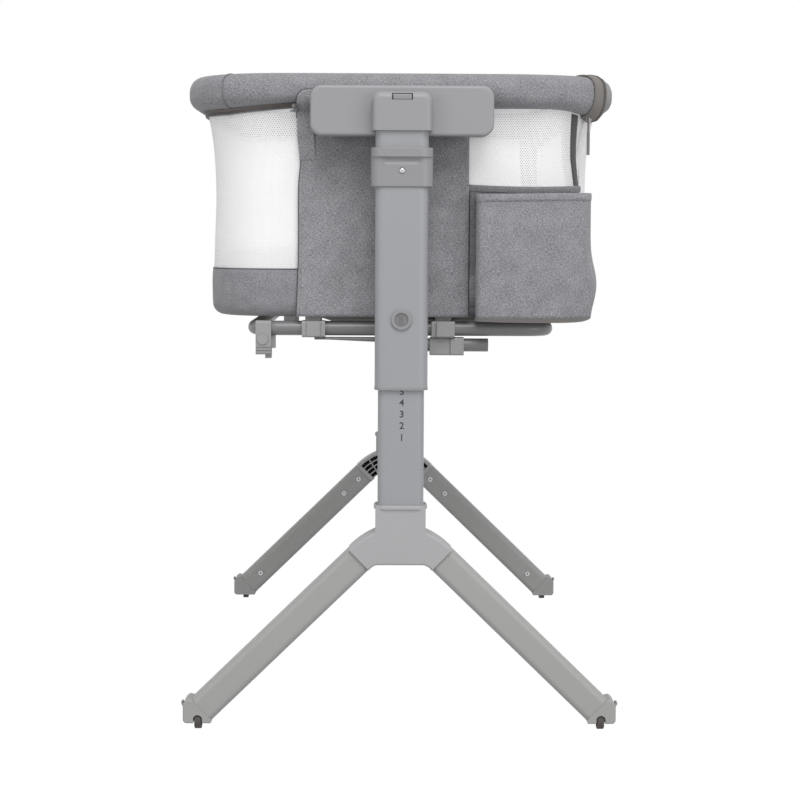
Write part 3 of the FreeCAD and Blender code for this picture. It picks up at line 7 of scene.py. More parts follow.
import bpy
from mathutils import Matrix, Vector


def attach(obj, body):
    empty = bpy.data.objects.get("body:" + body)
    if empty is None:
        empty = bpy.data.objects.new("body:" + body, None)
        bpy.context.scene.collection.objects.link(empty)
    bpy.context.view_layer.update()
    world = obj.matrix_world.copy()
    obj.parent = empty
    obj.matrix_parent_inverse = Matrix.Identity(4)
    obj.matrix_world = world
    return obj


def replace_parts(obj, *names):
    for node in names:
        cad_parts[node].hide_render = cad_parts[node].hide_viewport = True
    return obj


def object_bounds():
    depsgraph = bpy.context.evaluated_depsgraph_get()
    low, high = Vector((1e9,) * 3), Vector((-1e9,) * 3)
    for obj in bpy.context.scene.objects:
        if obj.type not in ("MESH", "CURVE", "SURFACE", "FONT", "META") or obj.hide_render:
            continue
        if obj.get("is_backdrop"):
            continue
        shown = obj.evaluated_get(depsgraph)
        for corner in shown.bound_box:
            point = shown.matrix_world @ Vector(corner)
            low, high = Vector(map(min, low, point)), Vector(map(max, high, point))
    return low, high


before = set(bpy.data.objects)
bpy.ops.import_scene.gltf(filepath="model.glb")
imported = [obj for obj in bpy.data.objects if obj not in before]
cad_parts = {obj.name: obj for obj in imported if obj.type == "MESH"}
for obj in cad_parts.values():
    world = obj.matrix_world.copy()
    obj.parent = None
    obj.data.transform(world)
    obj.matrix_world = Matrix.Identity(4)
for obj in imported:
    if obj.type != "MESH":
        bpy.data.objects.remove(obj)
cad_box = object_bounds()
print("frame nodes:", len(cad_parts))

# %% Modules
import math
from functools import partial

import bmesh
import bpy
from mathutils import Matrix, Vector, noise

# %% [markdown]
# ## Small hands
# Operators act on what is selected, so each step first picks its piece alone. A
# piece made here always ends at the origin, unturned, with its place in its
# mesh, because patterns read Object coordinates.

# %% Pick, edit and settle
def pick(*pieces):
    """Selects these pieces alone in Object mode, the first one active."""
    if bpy.context.object and bpy.context.object.mode != "OBJECT":
        bpy.ops.object.mode_set(mode="OBJECT")
    bpy.ops.object.select_all(action="DESELECT")
    for piece in pieces:
        piece.select_set(True)
    bpy.context.view_layer.objects.active = pieces[0]


def fresh(name):
    """Names the piece that was just added."""
    piece = bpy.context.object
    piece.name = piece.data.name = name
    return piece


def settle(piece):
    """Puts a piece's place into its mesh."""
    pick(piece)
    bpy.ops.object.transform_apply(location=True, rotation=True, scale=True)
    return piece


def add(name, data):
    """Puts an object with this data in the scene."""
    made = bpy.data.objects.new(name, data)
    bpy.context.scene.collection.objects.link(made)
    return made


def add_worked(name, work):
    """Makes a piece from a bmesh, which ends here."""
    mesh = bpy.data.meshes.new(name)
    work.to_mesh(mesh)
    work.free()
    return add(name, mesh)


def solid(kind, name, at=(0, 0, 0), turn=(0, 0, 0), scale=(1, 1, 1), **sizes):
    """Adds a primitive and puts its place into its mesh."""
    getattr(bpy.ops.mesh, "primitive_%s_add" % kind)(**sizes)
    made = fresh(name)
    made.location, made.rotation_euler, made.scale = at, turn, scale
    return settle(made)


def face_out(piece, merge=0.00002):
    """Merges doubles and turns every face outwards."""
    pick(piece)
    bpy.ops.object.mode_set(mode="EDIT")
    bpy.ops.mesh.select_all(action="SELECT")
    bpy.ops.mesh.remove_doubles(threshold=merge)
    bpy.ops.mesh.normals_make_consistent(inside=False)
    bpy.ops.object.mode_set(mode="OBJECT")
    return piece


def finish_with(piece, kind, **settings):
    """Adds one modifier with its settings and applies it."""
    pick(piece)
    modifier = piece.modifiers.new(kind.title(), kind)
    for key, value in settings.items():
        setattr(modifier, key, value)
    bpy.ops.object.modifier_apply(modifier=modifier.name)
    return piece


def one_piece(pieces, name):
    """Joins several pieces into one."""
    pick(*pieces)
    bpy.ops.object.join()
    return fresh(name)


def smooth(piece, degrees):
    """Smooth shading, with edges sharper than this kept."""
    pick(piece)
    bpy.ops.object.shade_smooth_by_angle(angle=math.radians(degrees))
    return piece


# %% [markdown]
# ## Measures taken from the frame
# The rim is a rounded rectangle in plan. Its corners turn about four upright
# axes, so any soft piece that follows the rim is a distance from those axes, a
# travel round them and a height. These few sizes say where the axes stand.

# %% Rim measures
CORNER_X, CORNER_Y = 0.161, 0.296
RAIL_R = 0.095          # rail's centre line, from a corner's axis
WALL_R = 0.089          # outer face of the walls
RAIL_Z = 0.8165
PAD_BOTTOM = 0.793
BAND_TOP = 0.591
BASE_BOTTOM = 0.527
PANEL = (-0.132, 0.087)  # grey panel at each end, along X
SPLIT = 32.35            # where the drop side starts, degrees round a +X corner
SPLIT_GAP = 0.7          # between the fixed and the dropping pieces, degrees
BEND = WALL_R * math.pi / 2
RUNS = (CORNER_Y, 2 * CORNER_X, 2 * CORNER_Y, 2 * CORNER_X, CORNER_Y)
ROUND = sum(RUNS) + 4 * BEND
UP = Vector((0, 0, 1))


# %% Shares and curves
def clamp(value, low=0.0, high=1.0):
    """Keeps a value between two bounds."""
    return max(low, min(high, value))


def ease(share):
    """Smooth way from 0 to 1."""
    return share * share * (3 - 2 * share)


def hump(share):
    """Half a sine wave, 0 at both ends and 1 in the middle."""
    return math.sin(math.pi * clamp(share))


def bell(value, middle, width):
    """Bell curve, 1 at its middle."""
    return math.exp(-((value - middle) / width) ** 2)


# %% Walk round the rim
def rim_at(travel):
    """Point on the line of corner axes, and the way out, at a travel that
    starts in the middle of the +X side and runs anticlockwise."""
    left, x, y = travel % ROUND, CORNER_X, 0.0
    for quarter, run in enumerate(RUNS):
        facing = quarter * math.pi / 2
        if left <= run or quarter == 4:
            out = Vector((math.cos(facing), math.sin(facing), 0))
            return Vector((x - out.y * left, y + out.x * left, 0)), out
        x, y, left = x - math.sin(facing) * run, y + math.cos(facing) * run, left - run
        if left <= BEND:
            facing += left / WALL_R
            return Vector((x, y, 0)), Vector((math.cos(facing), math.sin(facing), 0))
        left -= BEND


def at_angle(degrees):
    """Travel at a place on a corner, given as an angle from +X."""
    degrees %= 360
    quarter = int(degrees // 90)
    return sum(RUNS[:quarter + 1]) + quarter * BEND + math.radians(degrees - 90 * quarter) * WALL_R


def at_end(x, near=True):
    """Travel at a place on the near or far end."""
    start = sum(RUNS[:3]) + 3 * BEND if near else RUNS[0] + BEND
    return start + (CORNER_X + x if near else CORNER_X - x)


def travel_of(point):
    """Travel and distance from the corner axes of a point near the rim."""
    x, y = point.x, point.y
    over_x, over_y = abs(x) - CORNER_X, abs(y) - CORNER_Y
    if over_x > 0 and over_y > 0:
        away = Vector((math.copysign(over_x, x), math.copysign(over_y, y)))
        return at_angle(math.degrees(math.atan2(away.y, away.x))), away.length
    if over_x > 0:
        return (y % ROUND if x > 0 else sum(RUNS[:2]) + 2 * BEND + CORNER_Y - y), over_x
    return at_end(x, y < 0), over_y


def apart(travel, other):
    """Shortest way along the rim between two travels."""
    return abs((travel - other + ROUND / 2) % ROUND - ROUND / 2)


def steps(first, last, pitch):
    """Evenly spaced values from first to last."""
    count = max(1, math.ceil(abs(last - first) / pitch))
    return [first + (last - first) * i / count for i in range(count + 1)]


def travels(first, last, pitch):
    """Travels between two places, with one where each bend starts and ends."""
    if last < first:
        last += ROUND
    stops = {first, last}
    for here in (0, ROUND):
        for run in RUNS:
            stops.update(edge for edge in (here, here + run) if first < edge < last)
            here += run + BEND
    ordered = sorted(stops)
    out = ordered[:1]
    for low, high in zip(ordered, ordered[1:]):
        out += steps(low, high, pitch)[1:]
    return out


LEFT_RUN = (at_end(PANEL[0], False), at_end(PANEL[0]))  # from panel to panel

# %% [markdown]
# ## Cloth that follows the rim
# A wall, a band or a padded sleeve is one grid of points: round the rim by
# travel, and across by a profile of distances and heights. The grid gets a UV
# map in metres, so a weave keeps its thread size round every bend.

# %% Grids
def grid(name, places, levels, spot, wrap=False, capped=False):
    """Mesh with one point for each place and level. spot(place, level) gives a
    point in space and a UV pair in metres. wrap closes it across, and capped
    closes its two ends."""
    work = bmesh.new()
    rows = []
    for place in places:
        spots = (spot(place, level) for level in levels)
        rows.append([(work.verts.new(point), uv) for point, uv in spots])
    layer = work.loops.layers.uv.new("cloth")
    across = len(levels) if wrap else len(levels) - 1
    for before, after in zip(rows, rows[1:]):
        for j in range(across):
            k = (j + 1) % len(levels)
            corners = [before[j], after[j], after[k], before[k]]
            face = work.faces.new([corner[0] for corner in corners])
            face.smooth = True
            for loop, corner in zip(face.loops, corners):
                loop[layer].uv = corner[1]
    if capped:
        for row in (rows[0][::-1], rows[-1]):
            work.faces.new([corner[0] for corner in row])
    return add_worked(name, work)


def wall_point(travel, radius, z):
    """Point of a wall at this radius and height."""
    axis, out = rim_at(travel)
    return axis + out * radius + UP * z


def ripple(travel, z, size, strength, seed):
    """Gentle unevenness of cloth, the same in every run."""
    return strength * noise.noise(Vector((travel / size, z / size, seed)))


def thicken(piece, thickness, offset=-1.0):
    """Gives a sheet its thickness, inwards by default."""
    return finish_with(piece, "SOLIDIFY", thickness=thickness, offset=offset, use_even_offset=True)


# %% [markdown]
# ## Shared effects
# Several finishes use the same few effects, so each effect is a node group with
# named inputs, and each material sets its own values.

# %% Node helpers
def feed(tree, slot, value):
    """Links an output to an input, or sets the input's own value."""
    if isinstance(value, bpy.types.NodeSocket):
        tree.links.new(value, slot)
    else:
        slot.default_value = value


def node(tree, kind, **settings):
    """Adds a node; each setting is one of its properties or inputs."""
    made = tree.nodes.new("ShaderNode" + kind)
    for key, value in settings.items():
        if hasattr(made, key):
            setattr(made, key, value)
        else:
            feed(tree, made.inputs[key.replace("_", " ")], value)
    return made


def in_turn(tree, kind, values, **settings):
    """Adds a node, feeds its inputs in their order and gives its output."""
    made = node(tree, kind, **settings)
    for slot, value in zip(made.inputs, values):
        feed(tree, slot, value)
    return made.outputs[0]


def reckon(tree, operation, *values):
    """A Math node on outputs or numbers."""
    return in_turn(tree, "Math", values, operation=operation)


def effect(name, inputs, outputs):
    """Empty shader group with its sockets, each given by name and kind. It comes
    with its inputs, its outputs, and ways to put and to reckon in it."""
    group = bpy.data.node_groups.new(name, "ShaderNodeTree")
    for way, sockets in (("INPUT", inputs), ("OUTPUT", outputs)):
        for label, kind in sockets.items():
            group.interface.new_socket(label, in_out=way, socket_type="NodeSocket" + kind)
    come, go = group.nodes.new("NodeGroupInput"), group.nodes.new("NodeGroupOutput")
    return group, come.outputs, go.inputs, partial(node, group), partial(reckon, group)


def deliver(group, go, **values):
    """Leads values to the group's outputs."""
    for label, value in values.items():
        feed(group, go[label], value)
    return group


# %% [markdown]
# ### Moulded grain
# Plastic and powder coat are never quite flat. The group makes a fine grain for
# the bump, a slow drift of tone, and faint scuffs that lighten and roughen.

# %% Grain group
def make_grain():
    """Fine grain, slow drift and scuffs on Object coordinates."""
    group, come, go, put, do = effect(
        "moulded grain",
        {"Vector": "Vector", "Base": "Color", "Drift": "Float", "Grain size": "Float", "Rough": "Float"},
        {"Color": "Color", "Roughness": "Float", "Height": "Float"})

    def clouds(scale, **settings):
        """Noise at this scale."""
        return put("TexNoise", Vector=come["Vector"], Scale=scale, **settings).outputs["Fac"]

    fine = clouds(do("DIVIDE", 1.0, come["Grain size"]), Detail=3.0, Roughness=0.55)
    slow = do("SUBTRACT", clouds(7.0, Detail=4.0, Roughness=0.6), 0.5)
    scuff = clouds(38.0, Detail=8.0, Roughness=0.75, Distortion=0.8)
    worn = put("MapRange", Value=scuff, From_Min=0.58, From_Max=0.74).outputs["Result"]
    speck = do("MULTIPLY", do("SUBTRACT", fine, 0.5), 0.05)
    whole = do("ADD", do("ADD", do("MULTIPLY", slow, come["Drift"]), speck), 1.0)
    whole = do("MULTIPLY_ADD", worn, 0.025, whole)
    tint = put("VectorMath", operation="SCALE", Vector=come["Base"], Scale=whole)
    rough = do("MULTIPLY_ADD", slow, 0.12, come["Rough"])
    return deliver(group, go, Color=tint.outputs["Vector"], Height=fine,
                   Roughness=do("MULTIPLY_ADD", worn, 0.09, rough))


GRAIN = make_grain()


# %% [markdown]
# ### Heather weave
# The grey cloth is a plain weave of mottled yarns. Each yarn changes from dark
# to light along its length, more slowly along than across, and warp and weft
# take turns on top. The same group also serves the tapes and the white knit.

# %% Weave group
def make_weave():
    """Plain weave of two yarn sets with mottled colours, on UVs in metres."""
    group, come, go, put, do = effect(
        "heather weave",
        {"Vector": "Vector", "Yarn": "Float", "Streak": "Float", "Dark": "Color", "Light": "Color",
         "Mottle": "Float"}, {"Color": "Color", "Height": "Float"})
    place, yarn = put("SeparateXYZ", Vector=come["Vector"]).outputs, come["Yarn"]

    def stretched(along, across, seed):
        """Noise that is long one way and a yarn wide."""
        spot = put("CombineXYZ", X=do("DIVIDE", place[along], come["Streak"]),
                   Y=do("DIVIDE", place[across], do("MULTIPLY", yarn, 1.1)), Z=seed)
        made = put("TexNoise", Vector=spot.outputs[0], Scale=1.0, Detail=2.0, Roughness=0.7)
        return made.outputs["Fac"]

    turns = [do("SINE", do("MULTIPLY", do("DIVIDE", place[axis], yarn), math.pi)) for axis in "XY"]
    top = put("MapRange", Value=do("MULTIPLY", *turns), From_Min=-0.25, From_Max=0.25)
    shade = put("Mix", data_type="FLOAT", Factor=top.outputs["Result"],
                A=stretched("X", "Y", 3.0), B=stretched("Y", "X", 9.0)).outputs["Result"]
    cloud = put("TexNoise", Vector=come["Vector"], Scale=48.0, Detail=3.0, Roughness=0.6)
    drift = do("MULTIPLY", do("SUBTRACT", cloud.outputs["Fac"], 0.5), 0.14)
    mixed = do("SUBTRACT", do("ADD", shade, drift), 0.5)
    spread = do("ADD", do("MULTIPLY", mixed, do("MULTIPLY", come["Mottle"], 4.0)), 0.5)
    dye = put("Mix", data_type="RGBA", Factor=put("Clamp", Value=spread).outputs[0],
              A=come["Dark"], B=come["Light"])
    hills = do("ADD", *(do("ABSOLUTE", turn) for turn in turns))
    height = do("MULTIPLY_ADD", hills, 0.4, do("MULTIPLY", shade, 0.5))
    return deliver(group, go, Color=dye.outputs["Result"], Height=height)


WEAVE = make_weave()


# %% [markdown]
# ### Knitted net
# The windows are a warp-knitted net with small round holes in diagonal rows.
# The group gives the thread as a mask for Alpha, and a rounded height.

# %% Net group
NET_SLOPE = 0.72         # how far a row of holes slants
HOLE_EDGE = 0.12


def make_net():
    """Diagonal rows of round holes; Thread is 1 on the thread and 0 in a hole."""
    group, come, go, put, do = effect("knitted net", {"Vector": "Vector", "Pitch": "Float", "Open": "Float"},
                                      {"Thread": "Float", "Height": "Float"})
    place, waves = put("SeparateXYZ", Vector=come["Vector"]).outputs, []
    for slope in (NET_SLOPE, -NET_SLOPE):
        rows = do("DIVIDE", do("MULTIPLY_ADD", place["Y"], slope, place["X"]), come["Pitch"])
        waves.append(do("COSINE", do("MULTIPLY", rows, 2 * math.pi)))
    field = do("MULTIPLY", do("ADD", *waves), 0.5)
    edge = put("MapRange", Value=field, From_Min=come["Open"],
               From_Max=do("ADD", come["Open"], HOLE_EDGE))
    return deliver(group, go, Thread=do("SUBTRACT", 1.0, edge.outputs["Result"]),
                   Height=do("SUBTRACT", 1.0, field))


NET = make_net()


# %% [markdown]
# ## Finishes
# Each finish is a Principled surface. Its steady numbers sit on the shader's own
# sockets, and only what changes over the surface comes from a group.

# %% Make a surface
GRAIN_DEPTH = 0.0002


def surface(name, **steady):
    """Material with one Principled shader and its steady numbers."""
    made = bpy.data.materials.new(name)
    made.use_nodes = True
    shader = made.node_tree.nodes["Principled BSDF"]
    for key, value in steady.items():
        shader.inputs[key.replace("_", " ")].default_value = value
    return made, made.node_tree, shader


def lead(tree, shader, group, bump, depth):
    """Leads what a group puts out to the shader, its height as a bump."""
    for label, slot in (("Color", "Base Color"), ("Roughness", "Roughness"), ("Thread", "Alpha")):
        if label in group.outputs:
            feed(tree, shader.inputs[slot], group.outputs[label])
    hills = node(tree, "Bump", Strength=bump, Distance=depth, Height=group.outputs["Height"])
    feed(tree, shader.inputs["Normal"], hills.outputs[0])


def moulded(name, base, rough, drift, grain, bump, **steady):
    """Plastic, rubber or painted metal with the grain group."""
    made, tree, shader = surface(name, **steady)
    group = node(tree, "Group", node_tree=GRAIN, Vector=node(tree, "TexCoord").outputs["Object"],
                 Base=(*base, 1.0), Drift=drift, Grain_size=grain, Rough=rough)
    lead(tree, shader, group, bump, GRAIN_DEPTH)
    return made


def woven(name, dark, light, yarn, streak, mottle, bump=0.35):
    """Cloth with the weave group on the piece's own UV map."""
    made, tree, shader = surface(name, Roughness=0.92, Sheen_Weight=0.25, Sheen_Roughness=0.5,
                                 Specular_IOR_Level=0.2)
    cloth = node(tree, "UVMap", uv_map="cloth").outputs["UV"]
    group = node(tree, "Group", node_tree=WEAVE, Vector=cloth, Yarn=yarn, Streak=streak,
                 Dark=(*dark, 1.0), Light=(*light, 1.0), Mottle=mottle)
    lead(tree, shader, group, bump, yarn * 0.5)
    return made


# %% The crib's finishes
POST_COAT = moulded("post coat", (0.287, 0.292, 0.307), 0.46, 0.04, 0.0011, 0.05)
HEAD_PLASTIC = moulded("head plastic", (0.268, 0.268, 0.277), 0.48, 0.05, 0.0007, 0.10)
HUB_PLASTIC = moulded("hub plastic", (0.355, 0.353, 0.362), 0.48, 0.05, 0.0007, 0.10)
# Lock button: its own darker plastic, darkened further with painted shade of the recess it sits in.
BUTTON_PLASTIC_SHADED = moulded("button plastic with painted shade", (0.19, 0.19, 0.195), 0.42, 0.05, 0.0006, 0.10)
COLLAR_PLASTIC = moulded("collar plastic", (0.246, 0.246, 0.254), 0.45, 0.05, 0.0007, 0.10)
LEG_COAT = moulded("leg coat", (0.322, 0.320, 0.317), 0.5, 0.05, 0.0011, 0.06)
FITTING = moulded("fitting plastic", (0.285, 0.286, 0.289), 0.5, 0.08, 0.0008, 0.12)
# Base tubes: their own dark coat, darkened further with painted shade from the bassinet above them.
BASE_COAT_SHADED = moulded("base tube coat with painted shade", (0.165, 0.166, 0.17), 0.38, 0.05, 0.0012, 0.05, Coat_Weight=0.15)
WHEEL_RUBBER = moulded("wheel rubber", (0.07, 0.062, 0.06), 0.7, 0.2, 0.0006, 0.3)
ZINC = moulded("zinc plate", (0.52, 0.52, 0.53), 0.36, 0.15, 0.0006, 0.08, Metallic=0.9)
# Black hexagons on the leg screws stand for their sockets: painted shade of the recess.
SOCKET_SHADE = moulded("socket painted shade", (0.02, 0.02, 0.022), 0.4, 0.1, 0.0005, 0.05, Metallic=0.6)
NICKEL = moulded("worn nickel", (0.20, 0.19, 0.185), 0.34, 0.25, 0.0005, 0.1, Metallic=0.9)
BRIGHT_METAL = moulded("bright slider", (0.40, 0.39, 0.385), 0.25, 0.2, 0.0005, 0.08, Metallic=0.95)
STEEL_TUBE = moulded("bare rail tube", (0.4, 0.4, 0.41), 0.4, 0.1, 0.0009, 0.05, Metallic=0.8)
BOARD = moulded("pressed board", (0.5, 0.5, 0.49), 0.7, 0.1, 0.0015, 0.2)
INK = moulded("number ink", (0.045, 0.045, 0.05), 0.55, 0.1, 0.0004, 0.05)
HEATHER = woven("heather cloth", (0.100, 0.100, 0.111), (0.372, 0.370, 0.391), 0.0009, 0.0032, 0.85)
# A lighter copy of the heather for the end panels: painted light.
HEATHER_PANEL_LIT = woven("heather panel with painted light", (0.113, 0.113, 0.124), (0.418, 0.416, 0.438), 0.0009, 0.0032, 0.85)
# A darker copy of the heather: painted shade, used in the sleeve's seams, on the plackets behind the nets
# and on the pocket's back.
HEATHER_SHADED = woven("heather with painted shade", (0.09, 0.09, 0.10), (0.30, 0.30, 0.315), 0.0009, 0.006, 0.6)
UNDER_CLOTH = woven("under cloth", (0.17, 0.155, 0.148), (0.29, 0.268, 0.255), 0.0007, 0.004, 0.35)
ZIP_TAPE = woven("zip tape", (0.12, 0.11, 0.104), (0.24, 0.222, 0.21), 0.0005, 0.003, 0.4, 0.5)
ZIP_SHADE = woven("shaded zip tape", (0.045, 0.043, 0.044), (0.13, 0.124, 0.122), 0.0005, 0.003, 0.4, 0.5)
ZIP_COIL = moulded("zip coil", (0.10, 0.088, 0.082), 0.45, 0.2, 0.0004, 0.05)
THREAD = moulded("stitching thread", (0.2, 0.2, 0.21), 0.8, 0.3, 0.0003, 0.3)
# Colour of the dark cords: painted shadow along deep seams and edges.
PAINTED_SEAM_SHADOW = moulded("seam shadow", (0.07, 0.07, 0.075), 0.9, 0.3, 0.0004, 0.3)
KNIT = woven("white knit", (0.74, 0.74, 0.75), (0.86, 0.86, 0.865), 0.0012, 0.002, 0.3, 0.4)

# %% The net's finish
NET_PITCH = 0.0031
THROUGH = 0.12           # share of light that comes through the thread


def netted(name, colour, opening):
    """White net: the thread mask feeds Alpha, and some light comes through."""
    made, tree, shader = surface(name, Roughness=0.85, Sheen_Weight=0.15, Specular_IOR_Level=0.2)
    cloth = node(tree, "UVMap", uv_map="cloth").outputs["UV"]
    group = node(tree, "Group", node_tree=NET, Vector=cloth, Pitch=NET_PITCH, Open=opening)
    lead(tree, shader, group, 0.3, 0.0004)
    tint = node(tree, "TexNoise", Vector=cloth, Scale=420.0, Detail=2.0)
    ramp = node(tree, "MapRange", Value=tint.outputs["Fac"], From_Min=0.3, From_Max=0.7,
                To_Min=0.94, To_Max=1.0)
    scale = node(tree, "VectorMath", operation="SCALE", Vector=colour, Scale=ramp.outputs["Result"])
    feed(tree, shader.inputs["Base Color"], scale.outputs["Vector"])
    lit = node(tree, "BsdfTranslucent", Color=(*colour, 1.0)).outputs[0]
    hole = node(tree, "BsdfTransparent").outputs[0]
    thread = in_turn(tree, "MixShader", (group.outputs["Thread"], hole, lit))
    both = in_turn(tree, "MixShader", (THROUGH, shader.outputs[0], thread))
    feed(tree, tree.nodes["Material Output"].inputs["Surface"], both)
    return made


WHITE_NET = netted("white net", (0.945, 0.94, 0.95), 0.56)


def dress(piece, material, body="bassinet"):
    """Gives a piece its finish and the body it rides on."""
    piece.data.materials.clear()
    piece.data.materials.append(material)
    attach(piece, body)
    return piece


# %% [markdown]
# ## Finishes on the frame's own pieces
# The rigid nodes already have the real shapes. Each gets its finish in its
# material slots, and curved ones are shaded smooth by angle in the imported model.

# %% Dress the rigid nodes
RIGID = {
    POST_COAT: ("outer_tube", "inner_tube"),
    HEAD_PLASTIC: ("head_plate",),
    HUB_PLASTIC: ("hub",),
    # The lock button's finish carries painted shade of its recess.
    BUTTON_PLASTIC_SHADED: ("lock_button",),
    COLLAR_PLASTIC: ("collar", "release_button", "tube_trims"),
    LEG_COAT: ("legs", "foot_caps"),
    # The base tubes' finish carries painted shade from the bassinet above.
    BASE_COAT_SHADED: ("base_tube", "cross_tubes"),
    FITTING: ("strut_brackets", "cross_tube_clamps", "strap_anchors", "slide_rails", "brake", "end_struts"),
    WHEEL_RUBBER: ("wheel",),
    ZINC: ("base_fasteners",),
    NICKEL: ("zip_pull",),
    STEEL_TUBE: ("rail_tube", "drop_rail_tube", "rail_couplers"),
    BOARD: ("base_board",),
}
for finish, starts in RIGID.items():
    for name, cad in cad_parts.items():
        if name.startswith(starts):
            cad.data.materials.clear()
            cad.data.materials.append(finish)

# %% [markdown]
# ## Sections and beads
# Sleeves, zip rings, piping and hems are all a small closed section led along
# the rim. The section is a rounded rectangle, outer side first.

# %% Rounded section
def rounded_section(width, height, corner, per_corner=4):
    """Offsets (out, up) round a rounded rectangle."""
    points = []
    for quarter in range(4):
        core_out = (width / 2 - corner) * (1 if quarter in (0, 3) else -1)
        core_up = (height / 2 - corner) * (1 if quarter in (0, 1) else -1)
        for i in range(per_corner + 1):
            turn = math.pi / 2 * (quarter + i / per_corner)
            points.append((core_out + corner * math.cos(turn), core_up + corner * math.sin(turn)))
    return points


def bead(name, first, last, radius, z, section, pitch=0.012, capped=True):
    """Section led along the rim from one travel to another."""
    girth = [0.0]
    for before, after in zip(section, section[1:]):
        girth.append(girth[-1] + math.dist(before, after))

    def spot(place, level):
        out, up = section[level]
        return wall_point(place, radius + out, z + up), (place, girth[level])

    return grid(name, travels(first, last, pitch), range(len(section)), spot, wrap=True, capped=capped)


def on_both_ends(piece):
    """Adds the mirrored copy at the far end."""
    return finish_with(piece, "MIRROR", use_axis=(False, True, False), use_clip=False,
                       use_mirror_merge=False)


def bricks(name, places):
    """Small blocks, each given as its middle and its three half edges."""
    work = bmesh.new()
    for middle, *edges in places:
        place = Matrix.Translation(middle) @ Matrix(edges).transposed().to_4x4()
        bmesh.ops.create_cube(work, size=2.0, matrix=place)
    bmesh.ops.recalc_face_normals(work, faces=work.faces)
    return add_worked(name, work)


def paced(points, pitch, start):
    """Places at an even pitch along a line of points, each with its way on."""
    left = start
    for a, b in zip(points, points[1:]):
        length = (b - a).length
        while left < length:
            yield a + (b - a) * (left / length), (b - a) / length
            left += pitch
        left -= length


# %% [markdown]
# ## How the rim hangs
# Near the end panels' left edges the sleeve and its zip are drawn up a little,
# and where the zip rings close the corners, the cloth droops towards the
# slider. Every piece at the rim takes its share of both.

# %% Lift and droop
LIFT, LIFT_REACH = 0.0085, 0.09
DROOP, DROOP_REACH = 0.011, 0.062
HANG_FROM, HANG_FULL = 0.745, 0.783  # a net hangs along more and more between these heights
PAD_WIDTH, PAD_HEIGHT, PAD_ROUND = 0.044, 0.047, 0.018
SPLIT_TRAVELS = (at_angle(-32), at_angle(32))
WIDEN = 0.0034           # how far the padding bulges out along the long sides


def hang(point):
    """How far a point at the rim is raised or lowered by the cloth's hang."""
    if point.z >= RAIL_Z or point.z < HANG_FROM:
        return 0.0
    share = min(1.0, ((RAIL_Z - point.z) / (PAD_HEIGHT / 2)) ** 2)
    if point.z < HANG_FULL:
        share = ease((point.z - HANG_FROM) / (HANG_FULL - HANG_FROM))
    travel = travel_of(point)[0]
    up = max(0.0, 1 - min(apart(travel, panel) for panel in LEFT_RUN) / LIFT_REACH)
    down = max(0.0, 1 - min(apart(travel, split) for split in SPLIT_TRAVELS) / DROOP_REACH)
    left = 1.0 if point.x < PANEL[0] + 0.01 else 0.0
    return share * (LIFT * left * up - DROOP * down * down)


def let_hang(piece):
    """Gives a piece at the rim its share of the lift and droop."""
    for vertex in piece.data.vertices:
        vertex.co.z += hang(vertex.co)
    return piece


def let_bulge(piece):
    """Moves a piece round the rim outwards along the long sides."""
    for vertex in piece.data.vertices:
        out = rim_at(travel_of(vertex.co)[0])[1]
        vertex.co.x += WIDEN * out.x * abs(out.x)
    return let_hang(piece)


# %% [markdown]
# ## Padded rim
# The sleeve is foam round the rail tube, sewn along its underside and bound at
# its ends. It starts a little small, is remeshed evenly and blown up as cloth
# with its seams held, and what a point may move is capped.

# %% Fill with air
MOMENTS = 20


def puff(piece, voxel, pressure, cap, held):
    """Inflates a closed skin. held(point) is 1 on a seam and 0 away from it."""
    finish_with(piece, "REMESH", mode="VOXEL", voxel_size=voxel)
    start = [vertex.co.copy() for vertex in piece.data.vertices]
    pins = piece.vertex_groups.new(name="seams")
    for vertex in piece.data.vertices:
        pins.add([vertex.index], held(vertex.co), "REPLACE")
    pick(piece)
    cloth = piece.modifiers.new("Cloth", "CLOTH")
    settings = cloth.settings
    settings.quality, settings.mass = 5, 0.25
    settings.tension_stiffness = settings.compression_stiffness = 12
    settings.use_pressure, settings.uniform_pressure_force = True, pressure
    settings.vertex_group_mass = "seams"
    settings.effector_weights.gravity = 0
    cloth.point_cache.frame_start, cloth.point_cache.frame_end = 1, MOMENTS
    for moment in range(1, MOMENTS + 1):
        bpy.context.scene.frame_set(moment)
    bpy.ops.object.modifier_apply(modifier=cloth.name)
    bpy.context.scene.frame_set(1)
    for vertex, before in zip(piece.data.vertices, start):
        step = vertex.co - before
        if step.length > cap:
            vertex.co = before + step * (cap / step.length)
    piece.vertex_groups.clear()
    finish_with(piece, "SUBSURF", levels=1)
    return smooth(piece, 180)


# %% Make the two sleeves
PAD_GIRTH = 0.150
PAD_START = 0.0015       # sleeves start this much inside their final skin
SLEEVE_VOXEL, MATTRESS_VOXEL = 0.0052, 0.0075
PAD_SEAMS = (at_angle(234), at_angle(126))
SEAM_HALF, SEAM_DEPTH = 0.0035, 0.0011
PRESS_OUT = 0.4133       # the head plates slide just outside this
PRESSED = (-0.20, 0.12)  # where they do, along X
PRESS_SLOPE = 0.2        # how the sleeve swells again beside it
FLAP_MIDDLE, FLAP_HALF, FLAP_FADE = -0.123, 0.012, 0.006
FLAP_ROOM = 0.0016       # what the sleeve leaves for the flap over it


